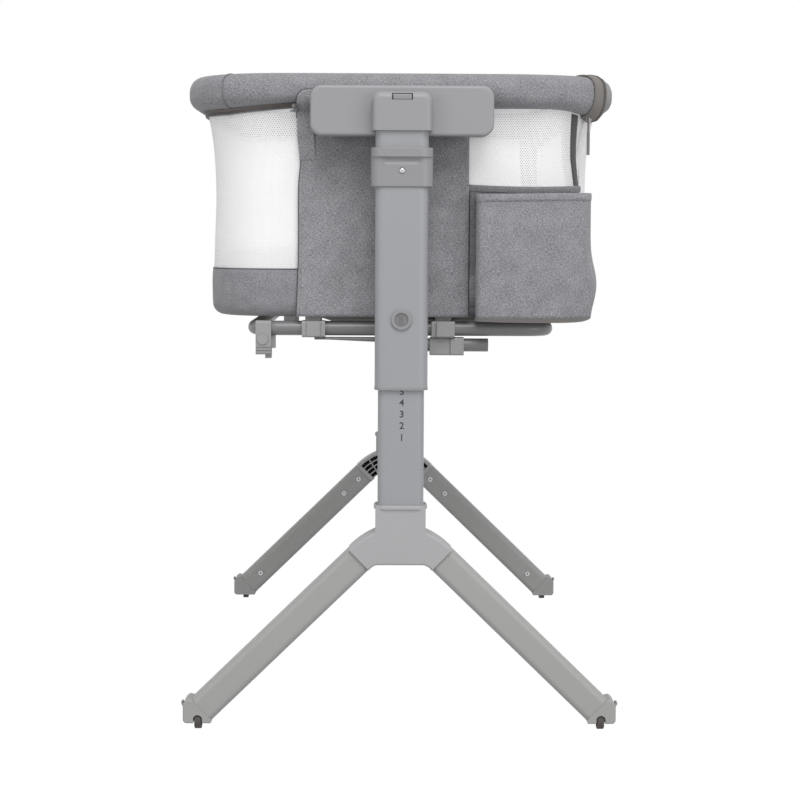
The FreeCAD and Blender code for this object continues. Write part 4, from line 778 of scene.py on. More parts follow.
def sleeve_cloth(piece):
    """Cloth map of a sleeve: the travel along the rim and the way round it."""
    layer = piece.data.uv_layers.new(name="cloth")
    spots = []
    for vertex in piece.data.vertices:
        travel, radius = travel_of(vertex.co)
        turn = math.atan2(vertex.co.z - RAIL_Z, radius - RAIL_R)
        spots.append((travel, turn / (2 * math.pi) * PAD_GIRTH))
    for face in piece.data.polygons:
        first = spots[face.vertices[0]]
        for loop, vertex in zip(face.loop_indices, face.vertices):
            along, across = spots[vertex]
            along -= round((along - first[0]) / ROUND) * ROUND
            across -= round((across - first[1]) / PAD_GIRTH) * PAD_GIRTH
            layer.data[loop].uv = (along, across)


def ring_section(proud):
    """The padding's section, this much larger all round."""
    return rounded_section(PAD_WIDTH + 2 * proud, PAD_HEIGHT + 2 * proud, PAD_ROUND + proud)


def make_sleeve(name, ends, cap, body, node_name, seams):
    """One padded sleeve between two travels."""
    sleeve = face_out(bead(name, *ends, RAIL_R, RAIL_Z, ring_section(-PAD_START), 0.008))

    def held(point):
        """Held under the rail, at both bound ends and at the cross seams."""
        travel, radius = travel_of(point)
        if point.z < PAD_BOTTOM + 2 * PAD_START and abs(radius - RAIL_R) < 0.005:
            return 1.0
        return 1.0 if any(apart(travel, seam) < SEAM_HALF for seam in seams + ends) else 0.0

    puff(sleeve, SLEEVE_VOXEL, 4.0, cap, held)
    for vertex in sleeve.data.vertices:
        travel = travel_of(vertex.co)[0]
        near_seam = max([0.0] + [1 - apart(travel, seam) / SEAM_HALF for seam in seams])
        if near_seam > 0:
            inwards = (wall_point(travel, RAIL_R, RAIL_Z) - vertex.co).normalized()
            vertex.co += inwards * (SEAM_DEPTH * near_seam * near_seam)
    sleeve_cloth(sleeve)
    let_bulge(sleeve)
    for vertex in sleeve.data.vertices:
        x = vertex.co.x
        over_flap = clamp(1 - (abs(x - FLAP_MIDDLE) - FLAP_HALF) / FLAP_FADE)
        beside = max(0.0, x - PRESSED[1], PRESSED[0] - x)
        limit = PRESS_OUT - FLAP_ROOM * over_flap + beside * PRESS_SLOPE
        vertex.co.y = clamp(vertex.co.y, -limit, limit)
    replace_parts(sleeve, node_name)
    return dress(sleeve, HEATHER, body)


END_BACK = 0.0006
DROP_SPLIT = SPLIT - SPLIT_GAP
make_sleeve("rim_sleeve", (at_angle(SPLIT) + END_BACK, at_angle(-SPLIT) - END_BACK), 0.004,
            "bassinet", "rail_padding", PAD_SEAMS)
make_sleeve("drop_sleeve", (at_angle(-DROP_SPLIT) + END_BACK, at_angle(DROP_SPLIT) - END_BACK), 0.006,
            "drop_side", "drop_rail_padding", ())

# %% Cross seams of the sleeve
SEAM_WIDTH, SEAM_PROUD = 0.0007, -0.0010
seams = [let_bulge(bead("seam", place - SEAM_WIDTH / 2, place + SEAM_WIDTH / 2, RAIL_R, RAIL_Z,
                        ring_section(SEAM_PROUD), SEAM_WIDTH)) for place in PAD_SEAMS]
# The seam strips take the darker heather: painted shade in the seams.
dress(one_piece(seams, "sleeve_seams_shaded"), HEATHER_SHADED)

# %% [markdown]
# ## Net walls
# Each net is stretched between the rim, the band and its side hems, so it is
# drawn in between them and flares out again where it meets the padded rim.

# %% Net shape
NET_TOP = 0.7955
CLOTH_BAND_TOP = 0.588
NET_LOW = CLOTH_BAND_TOP - 0.003
NET_BOTTOM = 0.5965      # of the dropping side's net
NET_SAG = 0.0034
NET_BACK, NET_FLARE = 0.0013, 0.0080  # behind the wall's face, and out at the rim
NET_TUCK = 0.006         # how far a net runs behind a panel
HEM_HOLD = 0.05          # how far a side hem keeps the net from sagging


def net_radius(z, hold):
    """Distance of a net from the corner axes; hold is 0 at a side hem."""
    up = (z - BAND_TOP) / (PAD_BOTTOM - BAND_TOP)
    return WALL_R - NET_BACK + NET_FLARE * max(0.0, up) ** 6 - NET_SAG * hold * hump(up)


def make_net_wall(name, first, last, bottom, body="bassinet", nodes=(), holds=(False, False)):
    """Net between two travels; holds says which ends have a hem."""
    stop = last + (ROUND if last < first else 0)

    def spot(place, z):
        gaps = [1.0] + [abs(place - end) / HEM_HOLD for end, hem in zip((first, stop), holds) if hem]
        hold = ease(min(gaps))
        radius = net_radius(z, hold) + ripple(place, z, 0.07, 0.0007 * hold, 2.0)
        return wall_point(place, radius, z), (place, z)

    wall = let_hang(grid(name, travels(first, last, 0.011), steps(bottom, NET_TOP, 0.0085), spot))
    for node_name in nodes:
        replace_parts(wall, node_name)
    return dress(wall, WHITE_NET, body)


make_net_wall("left_net", at_end(PANEL[0] + NET_TUCK, False), at_end(PANEL[0] + NET_TUCK), NET_LOW,
              nodes=("side_net", "corner_mesh"), holds=(True, True))
make_net_wall("near_net", at_end(PANEL[1] - NET_TUCK), at_angle(-SPLIT), NET_LOW, holds=(True, False))
make_net_wall("far_net", at_angle(SPLIT), at_end(PANEL[1] - NET_TUCK, False), NET_LOW, holds=(False, True))
make_net_wall("drop_net_wall", at_angle(-DROP_SPLIT), at_angle(DROP_SPLIT), NET_BOTTOM, "drop_side",
              ("drop_net", "drop_corner_mesh"))

# %% [markdown]
# ## Zips
# A zip ring runs round the rim where the dropping side starts, goes on down the
# wall, and another zip runs under the rim from the end panels round the left
# side. Tape is woven, and the coil is a row of small teeth on each tape's edge.

# %% Tapes
TAPE = 0.0012
RING_TAPE = 0.0022
RING = ring_section(TAPE)


def ring_tape(name, first, last, body):
    """Strip round the whole rim between two angles of the near right corner,
    with its mirrored copy."""
    tape = face_out(bead(name, at_angle(-last), at_angle(-first), RAIL_R, RAIL_Z, RING, 0.003, False))
    thicken(tape, RING_TAPE)
    return dress(on_both_ends(let_bulge(tape)), ZIP_TAPE, body)


# How far the corner zip strays along the wall, by height, and the reach of each.
SLACK = ((0.793, 0.0150), (0.763, 0.0105), (0.733, 0.0065), (0.703, -0.0020), (0.673, -0.0090))
SLACK_REACH = 0.03
PROUD = 0.0012           # of the net


# By default a strip takes the darker heather, painted shade behind the net.
def wall_strip(name, first, last, bottom, body, finish=HEATHER_SHADED, deeper=0.0045):
    """Upright strip on the net between two angles, with its mirrored copy."""
    def spot(place, z):
        slack = sum(lean * max(0.0, 1 - abs(z - height) / SLACK_REACH) for height, lean in SLACK)
        return wall_point(place - slack, net_radius(z, 1.0) + PROUD - deeper, z), (place, z)

    strip = grid(name, travels(at_angle(-last), at_angle(-first), 0.003),
                 steps(bottom, PAD_BOTTOM, 0.006), spot)
    thicken(let_hang(strip), TAPE)
    return dress(on_both_ends(strip), finish, body)


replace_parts(ring_tape("fixed_ring_tape", SPLIT, 42.35, "bassinet"), "rail_zip_rings")
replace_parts(ring_tape("drop_ring_tape", 27.65, DROP_SPLIT, "drop_side"), "drop_side_zips")
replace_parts(wall_strip("fixed_wall_tape", 35.4, 42.4, NET_LOW, "bassinet", ZIP_SHADE, 0.0),
            "corner_zips")
wall_strip("drop_wall_tape", 28.5, DROP_SPLIT, NET_BOTTOM, "drop_side", ZIP_TAPE, 0.0024)
wall_strip("fixed_placket", SPLIT, 50.0, NET_LOW, "bassinet")
wall_strip("drop_placket", 25.5, DROP_SPLIT, NET_BOTTOM, "drop_side")

# %% Teeth
TOOTH_PITCH = 0.0022
TOOTH = (0.0008, 0.0006, 0.0007)
RIM_TOOTH = (0.0007, 0.0006, 0.0016)


def ring_teeth(name, angle, body):
    """Teeth round the rim at one angle, at both ends."""
    travel, places = at_angle(-angle), []
    across = UP.cross(rim_at(travel)[1])
    ring = [wall_point(travel, RAIL_R + out, RAIL_Z + up) for out, up in RING + RING[:1]]
    for middle, along in paced(ring, TOOTH_PITCH, 0.0):
        away = across.cross(along)
        places.append((middle + away * TOOTH[1] * 0.5, across * TOOTH[0], away * TOOTH[1], along * TOOTH[2]))
    return dress(on_both_ends(let_bulge(bricks(name, places))), ZIP_COIL, body)


ring_teeth("fixed_ring_teeth", 32.9, "bassinet")
ring_teeth("drop_ring_teeth", 31.1, "drop_side")

# %% Rim zip
RIM_ZIP_R, RIM_ZIP_Z = 0.0965, 0.7905
rim_tape = bead("rim_zip_tape", *LEFT_RUN, RIM_ZIP_R, RIM_ZIP_Z,
                rounded_section(0.0016, 0.0078, 0.0007, 2), 0.009)
dress(let_hang(rim_tape), ZIP_TAPE, "bassinet")
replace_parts(rim_tape, "rim_zip")
teeth = []
for travel in steps(*LEFT_RUN, TOOTH_PITCH):
    out = rim_at(travel)[1]
    teeth.append((wall_point(travel, RIM_ZIP_R + 0.0011, RIM_ZIP_Z - 0.0012),
                  UP.cross(out) * RIM_TOOTH[0], out * RIM_TOOTH[1], UP * RIM_TOOTH[2]))
dress(let_hang(bricks("rim_zip_teeth", teeth)), ZIP_COIL, "bassinet")
edge = bead("rim_zip_edge", *LEFT_RUN, RIM_ZIP_R + 0.0003, RIM_ZIP_Z - 0.0038,
            rounded_section(0.0022, 0.0016, 0.0008, 2), 0.009)
dress(let_hang(edge), HEATHER)


# %% Sliders
RING_SLIDER, RIM_SLIDER = (0.0095, 0.0065, 0.0050), (0.009, 0.0060, 0.0048)


def slider(name, travel, radius, z, along, sizes):
    """Zip slider at a place on the rim: two plates, a post and a bridge."""
    out = rim_at(travel)[1]
    across = out.cross(along).normalized()
    length, width, depth = sizes
    parts = [solid("cube", "plate", (0, 0, depth * level), size=1.0,
                   scale=(length * share, width * share, depth * 0.24))
             for level, share in ((-0.36, 1.0), (0.30, 0.86))]
    for plate in parts:
        finish_with(plate, "BEVEL", width=0.0006, segments=2)
    parts.append(solid("cylinder", "post", (length * 0.22, 0, 0), vertices=16, radius=width * 0.16,
                       depth=depth * 0.9))
    parts.append(solid("torus", "bridge", (-length * 0.08, 0, depth * 0.5), (math.pi / 2, 0, 0),
                       major_segments=20, minor_segments=8, major_radius=width * 0.26,
                       minor_radius=width * 0.07))
    made = one_piece(parts, name)
    made.data.transform(Matrix.Translation(wall_point(travel, radius, z))
                        @ Matrix((along, across, out)).transposed().to_4x4())
    return smooth(made, 40)


# On the zip rings, under the rim, where the pullers hang, and on the rim's zip.
sliders = [slider("slider", at_angle(angle), 0.1046, 0.7842, UP, RING_SLIDER) for angle in (-38, 38)]
dress(one_piece(sliders, "ring_sliders"), BRIGHT_METAL, "bassinet")
rim_slider = slider("rim_slider", at_end(PANEL[0] - 0.0035), 0.1000, RIM_ZIP_Z + LIFT - 0.0015,
                    Vector((1, 0, 0)), RIM_SLIDER)
dress(rim_slider, NICKEL, "bassinet")

# %% [markdown]
# ## Lower band and base cover
# The grey band carries the walls. Its lower edge turns under with a soft bend,
# and the under cloth closes the bottom and sags between the tubes.

# %% Lower band
BAND_BEND = 0.016
BAND_FALL = CLOTH_BAND_TOP - BASE_BOTTOM - BAND_BEND
BAND_SWELL = 0.0011
BAND_RUN = 0.012         # cloth from one level of the profile to the next
BAND_PROFILE = [(WALL_R - 0.0012, CLOTH_BAND_TOP + 0.0008), (WALL_R - 0.0002, CLOTH_BAND_TOP - 0.0004)]
BAND_PROFILE += [(WALL_R + BAND_SWELL * hump(share), CLOTH_BAND_TOP - BAND_FALL * share)
                 for share in (0.12, 0.3, 0.5, 0.7, 0.88, 1.0)]
BAND_PROFILE += [(WALL_R - BAND_BEND * (1 - math.cos(turn)), BASE_BOTTOM + BAND_BEND * (1 - math.sin(turn)))
                 for turn in map(math.radians, (18, 36, 54, 72, 90))]


def band_spot(place, level):
    """Place on the band, with soft unevenness below its seam."""
    radius, z = BAND_PROFILE[level]
    soft = clamp((CLOTH_BAND_TOP - z) / 0.02)
    radius += ripple(place, z, 0.05, 0.0016 * soft, 5.0)
    return wall_point(place, radius, z), (place, BAND_RUN * level)


band = grid("lower_band_cloth", travels(0, ROUND, 0.009), range(len(BAND_PROFILE)), band_spot)
thicken(face_out(band), 0.0018)
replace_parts(band, "lower_band")
dress(band, HEATHER)
# A dark cord along the band's top seam: painted shadow.
dress(bead("band_seam_shadow", *LEFT_RUN, WALL_R - 0.0008, CLOTH_BAND_TOP + 0.0006,
           rounded_section(0.0020, 0.0012, 0.0005, 2)), PAINTED_SEAM_SHADOW)
hem = bead("drop_hem_roll", at_angle(-DROP_SPLIT), at_angle(DROP_SPLIT), WALL_R - 0.0005, 0.5948,
           rounded_section(0.003, 0.0034, 0.0014, 2))
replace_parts(hem, "drop_hem")
dress(hem, HEATHER, "drop_side")

# %% Base cover
BELLY = 0.0105           # how far the under cloth sags between the base tube's sides
COVER_EDGE = WALL_R - BAND_BEND + 0.001
TUBE_HALF, TUBE_BEND = (0.1905, 0.375), 0.028
TUBE_CLEAR = 0.0105      # from the base tube's centre line, in plan
BELLY_RISE = 0.016
ON_TUBE = 0.004          # how far the cloth is drawn down onto the tube
RIGHT_OF, ONTO = (-0.115, 0.03), (-0.10, 0.05)  # along X, where each sets in and over what run
COVER_SHARES = (1.0, 0.988, 0.976, 0.964, 0.952, 0.94, 0.92, 0.9, 0.875, 0.85, 0.82, 0.79, 0.75, 0.7, 0.6,
                0.45, 0.25, 0.1, 0.0)


def inside_tube(x, y):
    """Distance inwards of the base tube's centre line, in plan."""
    over_x, over_y = abs(x) - (TUBE_HALF[0] - TUBE_BEND), abs(y) - (TUBE_HALF[1] - TUBE_BEND)
    if over_x > 0 and over_y > 0:
        return TUBE_BEND - math.hypot(over_x, over_y)
    return min(TUBE_HALF[0] - abs(x), TUBE_HALF[1] - abs(y))


def cover_spot(place, share):
    """Place on the under cloth: tight on the far left, drawn over the base tube
    and sagging between its sides."""
    axis, out = rim_at(place)
    x, y, _ = (axis + out * COVER_EDGE) * share
    run = clamp((1.0 - share) / 0.2)
    well = 1 - math.exp(-max(0.0, inside_tube(x, y) - TUBE_CLEAR) / BELLY_RISE)
    to_right = clamp((x - RIGHT_OF[0]) / RIGHT_OF[1])
    over_tube = ON_TUBE * clamp((x - ONTO[0]) / ONTO[1]) * clamp((1.0 - share) / 0.012)
    drop = 0.001 * run + over_tube + (BELLY - over_tube) * to_right * well
    z = BASE_BOTTOM + 0.0004 - drop + ripple(x, y, 0.09, 0.0012 * run * well, 8.0)
    return Vector((x, y, z)), (x, y)


cover = face_out(grid("under_cover", travels(0, ROUND, 0.012), COVER_SHARES, cover_spot))
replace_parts(cover, "base_cover")
dress(cover, UNDER_CLOTH)

# %% [markdown]
# ## End panels
# Between the nets each end has a grey panel in front of the uprights. It hangs
# from the padded rim, and its upper left corner is a flap over the rim's face.

# %% Panel
PANEL_OUT = 0.3867 - CORNER_Y
PANEL_BOTTOM = 0.5275
PANEL_PROUD, FLAP_PROUD = 0.0014, 0.0022
PANEL_TOP = 0.7925
LINING_OUT, LINING_BOTTOM = 0.3715, 0.541
FOLD, FOLD_SIZE = 0.0085, 0.055
TUCK, TUCK_REACH = 0.0030, 0.022
FLAP = (-0.134, -0.1125)
FLAP_ROUND, FLAP_TOP, FLAP_FOOT = 0.014, 0.8165, 0.728
FLAP_ROWS = 36


def panel_spot(x, z):
    """Near end panel: drawn a little out at mid height, soft folds across, and
    its left edge tucked in where the net pulls at it."""
    up = (z - PANEL_BOTTOM) / (PAD_BOTTOM - PANEL_BOTTOM)
    edge = clamp(min(x - PANEL[0], PANEL[1] - x) / 0.03)
    out = PANEL_OUT + PANEL_PROUD + 0.0012 * edge * hump(up)
    out += ripple(x, z, FOLD_SIZE, FOLD * edge, 11.0) * hump(up + 0.04)
    left = max(0.0, 1 - (x - PANEL[0]) / 0.05)
    tuck = left * TUCK * (bell(z, FLAP_FOOT, TUCK_REACH) - max(0.0, (0.60 - z) / 0.075))
    return Vector((x + tuck, -(CORNER_Y + out), z)), (x, z)


def pad_face(z):
    """Distance out of the rim's padded face at this height."""
    below = clamp(RAIL_Z - PAD_HEIGHT / 2 + PAD_ROUND - z, 0.0, PAD_ROUND)
    return RAIL_R + PAD_WIDTH / 2 - PAD_ROUND + math.sqrt(PAD_ROUND ** 2 - below ** 2)


def flap_spot(x, share):
    """Flap from the panel's top left up over the rim's face. It keeps inside
    the head plate's hooks, which pass it when the bassinet slides sideways."""
    aside = FLAP_ROUND - min(FLAP_ROUND, x - FLAP[0])
    top = FLAP_TOP - (FLAP_ROUND - math.sqrt(FLAP_ROUND ** 2 - aside ** 2))
    z = FLAP_FOOT + (top - FLAP_FOOT) * share
    rise = ease(clamp((z - FLAP_FOOT) / (PAD_BOTTOM - FLAP_FOOT)))
    foot = PANEL_OUT + FLAP_PROUD
    out = foot + (pad_face(PAD_BOTTOM) - 0.001 - foot) * rise
    if z > PAD_BOTTOM:
        out = min(PRESS_OUT - CORNER_Y, pad_face(z)) - 0.0009
    return Vector((x + TUCK * bell(z, FLAP_FOOT, TUCK_REACH), -(CORNER_Y + out), z)), (x, z)


def lining_spot(x, z):
    """Flat lining behind the uprights."""
    return Vector((x, -LINING_OUT, z)), (x, z)


panels = one_piece([
    grid("panel_cloth", steps(*PANEL, 0.005), steps(PANEL_BOTTOM, PANEL_TOP, 0.005), panel_spot),
    grid("flap", steps(*FLAP, 0.0015), [i / FLAP_ROWS for i in range(FLAP_ROWS + 1)], flap_spot),
    grid("lining", steps(*PANEL, 0.012), steps(LINING_BOTTOM, PANEL_TOP, 0.012), lining_spot),
], "end_panel_cloths")
on_both_ends(thicken(panels, 0.0014, 0.0))
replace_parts(panels, "end_panels")
# The panels take the lighter heather, which is painted light.
dress(panels, HEATHER_PANEL_LIT)

# %% [markdown]
# ## Pocket
# An open bag at the right of the near end: a deep left gusset, a front that
# stands off the wall and a right side that runs back to the corner. Its back is
# cloth on the net, a little higher than the front.

# %% Pocket shape
POCKET_LEFT, POCKET_RIGHT, POCKET_TOP, POCKET_DEPTH = 0.0955, 0.250, 0.6850, 0.040
POCKET_TILT = 0.0025     # its top rises this much to the right
BELLY_OUT = 0.002        # of its front
SWELL, SWELL_UP, SWELL_REACH = 0.0085, 0.27, 0.20  # of its right side
WALL_OUT = CORNER_Y + WALL_R
SEWN_ANGLE = 47
BAG_ROWS, BAG_PLACES, FLOOR_PLACES = 1 / 32, 1 / 60, 1 / 44


def pocket_corners(up):
    """Corners of the bag in plan at this share of its height: the left gusset,
    the rounded front, and the right side back to its seam."""
    front = WALL_OUT + POCKET_DEPTH - 0.001 + BELLY_OUT * hump(up * 1.1)
    right = POCKET_RIGHT - 0.0052 + SWELL * bell(up, SWELL_UP, SWELL_REACH)
    turn = math.radians(90 - SEWN_ANGLE)
    sewn = (CORNER_X + WALL_R * math.sin(turn), CORNER_Y + WALL_R * math.cos(turn))
    corners = [(POCKET_LEFT + 0.001, WALL_OUT), (POCKET_LEFT + 0.0005, front - 0.007),
               (POCKET_LEFT + 0.002, front - 0.002), (POCKET_LEFT + 0.008, front),
               (right - 0.042, front - 0.003), (right - 0.010, front - 0.015),
               (right - 0.001, WALL_OUT + 0.010), (right, WALL_OUT - 0.002),
               (right - 0.004, WALL_OUT - 0.013), sewn]
    return [Vector((x, -out)) for x, out in corners]


def pocket_line(share, up):
    """Point of the bag's skin and the way walked to it from its left seam."""
    corners = pocket_corners(up)
    lengths = [(b - a).length for a, b in zip(corners, corners[1:])]
    walk = whole = share * sum(lengths)
    for a, b, length in zip(corners, corners[1:], lengths):
        if walk <= length + 1e-9:
            return a.lerp(b, walk / length), whole
        walk -= length
    return corners[-1], whole


def pocket_spot(share, up):
    """Place on the bag: share from the left seam to the right one, up from 0 at
    its bottom to 1 at its hem."""
    place, run = pocket_line(share, up)
    top = POCKET_TOP - 0.0005 + POCKET_TILT * clamp((place.x - POCKET_LEFT) / 0.15)
    z = BASE_BOTTOM + (top - BASE_BOTTOM) * up
    y = place.y - ripple(run, z, 0.035, 0.004 * hump(share) * hump(up), 14.0)
    return Vector((place.x, y, z)), (run, z)


bag = thicken(grid("pocket_cloth", steps(0, 1, BAG_PLACES), steps(0, 1, BAG_ROWS), pocket_spot), 0.0016)
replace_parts(bag, "pocket")
dress(bag, HEATHER)

# %% Hems, floor and back
# Each hem is folded over its edge: depth out of the cloth and drop below the edge.
HEM_FOLD = ((0.0008, -0.0085), (0.0012, -0.0045), (0.0008, 0.0002), (-0.0008, 0.0010), (-0.0024, 0.0002),
            (-0.0026, -0.0085))
BACK_FOLD = ((0.0012, -0.0075), (0.0018, -0.004), (0.0014, -0.0004), (0.0, 0.0008), (-0.0008, -0.0004),
             (-0.0008, -0.0075))
BAG_MIDDLE = Vector((0.16, -0.30))
POCKET_BACK_TOP = 0.6975
BACK_FROM, BACK_TO = at_end(PANEL[1]), at_angle(-36)
BACK_PROUD, BACK_DIP, BACK_LOOSE = 0.0008, 0.0022, 0.0015
FLOOR_BACK, FLOOR_SAG = 0.022, 0.0062


def folded(spot, away, depth, drop):
    """Moves a place on an edge to its place on the hem."""
    point, cloth = spot
    return point + away * depth + UP * drop, (cloth[0], cloth[1] + drop)


def hem_spot(share, fold):
    """Folded hem round the bag's mouth."""
    away = (pocket_line(share, 1.0)[0] - BAG_MIDDLE).to_3d().normalized()
    return folded(pocket_spot(share, 1.0), away, *fold)


def floor_spot(share, inwards):
    """Underside of the bag, sagging in front of the base tube."""
    place = pocket_line(share, 0.0)[0]
    back = Vector((min(place.x, CORNER_X + 0.05), -(WALL_OUT - FLOOR_BACK)))
    x, y = place.lerp(back, inwards)
    sag = FLOOR_SAG * hump(inwards * 1.25) ** 0.7 * hump(share) ** 0.35
    return Vector((x, y, BASE_BOTTOM - sag)), (x, y)


def back_spot(place, share):
    """Cloth on the net behind the bag, its top edge slightly slack."""
    slack = hump((place - BACK_FROM) / (BACK_TO - BACK_FROM))
    z = LINING_BOTTOM + (POCKET_BACK_TOP - BACK_DIP * slack - LINING_BOTTOM) * share
    radius = WALL_R + BACK_PROUD - (BACK_LOOSE * slack if share > 0.5 else 0.0)
    return wall_point(place, radius, z), (place, z)


def back_hem_spot(place, fold):
    """Rolled hem on the back cloth's top edge."""
    return folded(back_spot(place, 1.0), rim_at(place)[1], *fold)


dress(face_out(grid("pocket_hem", steps(0, 1, BAG_PLACES), HEM_FOLD, hem_spot)), HEATHER)
bag_floor = grid("pocket_floor", steps(0, 1, FLOOR_PLACES),
                 (0.0, 0.06, 0.14, 0.24, 0.36, 0.5, 0.65, 0.8, 1.0), floor_spot)
dress(face_out(bag_floor), UNDER_CLOTH)
back_places = travels(BACK_FROM, BACK_TO, 0.006)
back = thicken(grid("pocket_back", back_places, steps(0, 1, 0.05), back_spot), 0.0008)
back_hem = face_out(grid("back_hem", back_places, BACK_FOLD, back_hem_spot))
# The back cloth takes the darker heather: painted shade inside the pocket.
dress(one_piece([back, back_hem], "pocket_back_cloth"), HEATHER_SHADED)

# %% [markdown]
# ## Seams and stitches
# Topstitching follows the panel's edges and the pocket's hem: short ends of
# thread, each a small block, since nothing finer shows at this size.

# %% Stitches
STITCH, STITCH_GAP, THREAD_R, STITCH_PROUD = 0.0026, 0.0011, 0.00022, 0.0002
SEAM_LOW, SEAM_HIGH = 0.5285, 0.735


def stitches(name, points):
    """Row of stitches along a line of points on the near end."""
    away = Vector((0, -1, 0))
    places = [(middle + away * STITCH_PROUD, along.cross(away) * THREAD_R, away * THREAD_R,
               along * (STITCH / 2)) for middle, along in paced(points, STITCH + STITCH_GAP, STITCH / 2)]
    return dress(bricks(name, places), THREAD)


def moved(points, *way):
    """The points, all moved one way."""
    return [point + Vector(way) for point in points]


for side, x, high in (("left", PANEL[0] + 0.004, 0.735), ("right", PANEL[1] - 0.004, 0.75)):
    stitches("panel_stitches_" + side,
             moved([panel_spot(x, z)[0] for z in steps(0.53, high, 0.006)], 0, -0.0007, 0))
stitches("pocket_stitches",
         moved([pocket_spot(share, 1.0)[0] for share in steps(0.2, 0.78, 0.01)], 0, -0.0012, -0.0070))


# %% Dark seam lines of painted shadow
def seam_cord(name, points, size):
    """Thin round line laid along points, for a deep seam's shadow."""
    curve = bpy.data.curves.new(name, "CURVE")
    curve.dimensions = "3D"
    curve.bevel_depth, curve.bevel_resolution = size, 1
    spline = curve.splines.new("POLY")
    spline.points.add(len(points) - 1)
    for target, point in zip(spline.points, points):
        target.co = (*point, 1.0)
    pick(add(name, curve))
    bpy.ops.object.convert(target="MESH")
    return dress(bpy.context.object, PAINTED_SEAM_SHADOW)


flap_line = [flap_spot(FLAP[0], share)[0] for share in steps(0.72, 1.0, 0.04)]
flap_line += [flap_spot(x, 1.0)[0] for x in steps(*FLAP, 0.001)]
edge_line = [panel_spot(PANEL[0], z)[0] for z in steps(SEAM_LOW, SEAM_HIGH, 0.006)]
gusset_line = [Vector((PANEL[1], -WALL_OUT, z)) for z in steps(SEAM_LOW, POCKET_BACK_TOP, 0.01)]
# Painted shadow along the flap's top edge, the panel's left edge and the pocket's gusset.
seam_cord("flap_seam_shadow", moved(flap_line, -0.0004, 0, 0.0004), 0.0007)
seam_cord("panel_edge_shadow", moved(edge_line, -0.0004, 0.0006, 0), 0.0009)
seam_cord("gusset_shadow", moved(gusset_line, 0.0006, -0.0016, 0), 0.0008)

# %% [markdown]
# ## Mattress
# A foam pad in a white knitted cover, crowned on top and piped along its edges.

# %% Mattress
PAD_R = 0.0705
MATTRESS_Z = (0.5536, 0.6136)
CROWN, EDGE, SKIN = 0.004, 0.010, 0.0012
PIPING = 0.0044


def mattress_spot(place, level):
    """Place on the pad: share of the plan, distance out and height."""
    share, radius, z = level
    axis, out = rim_at(place)
    x, y, _ = (axis + out * radius) * share
    return Vector((x, y, z)), (x, y)


bottom, top, radius = MATTRESS_Z[0] + SKIN, MATTRESS_Z[1] - SKIN, PAD_R - SKIN
levels = [(share, radius - EDGE * 0.8, bottom) for share in (0.0, 0.5, 0.9, 1.0)]
levels += [(1.0, radius - EDGE * 0.2, bottom + EDGE * 0.3), (1.0, radius, bottom + EDGE),
           (1.0, radius, top - EDGE), (1.0, radius - EDGE * 0.2, top - EDGE * 0.3)]
levels += [(share, radius - EDGE * 0.8, top + CROWN * (1 - share ** 4))
           for share in (1.0, 0.9, 0.75, 0.5, 0.0)]
mattress = face_out(grid("mattress_cover", travels(0, ROUND, 0.012), levels, mattress_spot), 0.0001)


def edge_seam(point):
    """Held along the piped edges."""
    near_edge = min(abs(point.z - MATTRESS_Z[0] - SKIN), abs(point.z - MATTRESS_Z[1] + SKIN))
    return 1.0 if near_edge < 0.005 and travel_of(point)[1] > PAD_R - 0.012 else 0.0


def flat_cloth(piece):
    """Cloth map from above on level faces and along the rim on upright ones."""
    layer = piece.data.uv_layers.get("cloth") or piece.data.uv_layers.new(name="cloth")
    for face in piece.data.polygons:
        points = [piece.data.vertices[index].co for index in face.vertices]
        first = travel_of(points[0])[0]
        for loop, point in zip(face.loop_indices, points):
            spot = (point.x, point.y)
            if abs(face.normal.z) <= 0.6:
                travel = travel_of(point)[0]
                spot = (travel - round((travel - first) / ROUND) * ROUND, point.z)
            layer.data[loop].uv = spot


puff(mattress, MATTRESS_VOXEL, 2.5, 0.003, edge_seam)
flat_cloth(mattress)
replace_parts(mattress, "mattress")
dress(mattress, KNIT, "mattress_pad")
piping = [bead("piping", 0.0001, ROUND - 0.0001, PAD_R - PIPING / 2, z,
               rounded_section(PIPING, PIPING, PIPING / 2, 2))
          for z in (MATTRESS_Z[0] + 0.004, MATTRESS_Z[1] - 0.003)]
dress(one_piece(piping, "mattress_piping"), KNIT, "mattress_pad")

# %% [markdown]
# ## Numbers and screws
# The lower tube carries the plain numbers of the five heights. The collar screws
# have cross recesses, and each leg screw a dark hexagon for its socket: painted shade.

# %% Numbers on the lower tubes
NUMBER_PLACES = {"5": 0.4357, "4": 0.4217, "3": 0.4071, "2": 0.3925, "1": 0.3773}
NUMBER_OUT = 0.45675


def number(text, z):
    """Plain figure printed on the near tube's front face."""
    bpy.ops.object.text_add()
    figure = bpy.context.object
    figure.data.body = text
    figure.data.size, figure.data.offset, figure.data.extrude = 0.0122, 0.00022, 0.00012
    figure.data.align_x = figure.data.align_y = "CENTER"
    figure.data.resolution_u = 3
    bpy.ops.object.convert(target="MESH")
    figure = fresh("figure")
    figure.rotation_euler = (math.pi / 2, 0, 0)
    figure.location = (0.001, -NUMBER_OUT, z)
    return settle(figure)


near_numbers = one_piece([number(text, z) for text, z in NUMBER_PLACES.items()], "numbers_near")
pick(near_numbers)
bpy.ops.object.duplicate()
far_numbers = fresh("numbers_far")
far_numbers.rotation_euler = (0, 0, math.pi)
settle(far_numbers)
dress(near_numbers, INK, "base_near")
dress(far_numbers, INK, "base_far")

# %% Collar screws
COLLAR_FACE, COLLAR_SCREW_Z = 0.4636, 0.713
SCREW_R, SCREW_HEIGHT = 0.0035, 0.0016
CROSS_TURN = 0.35


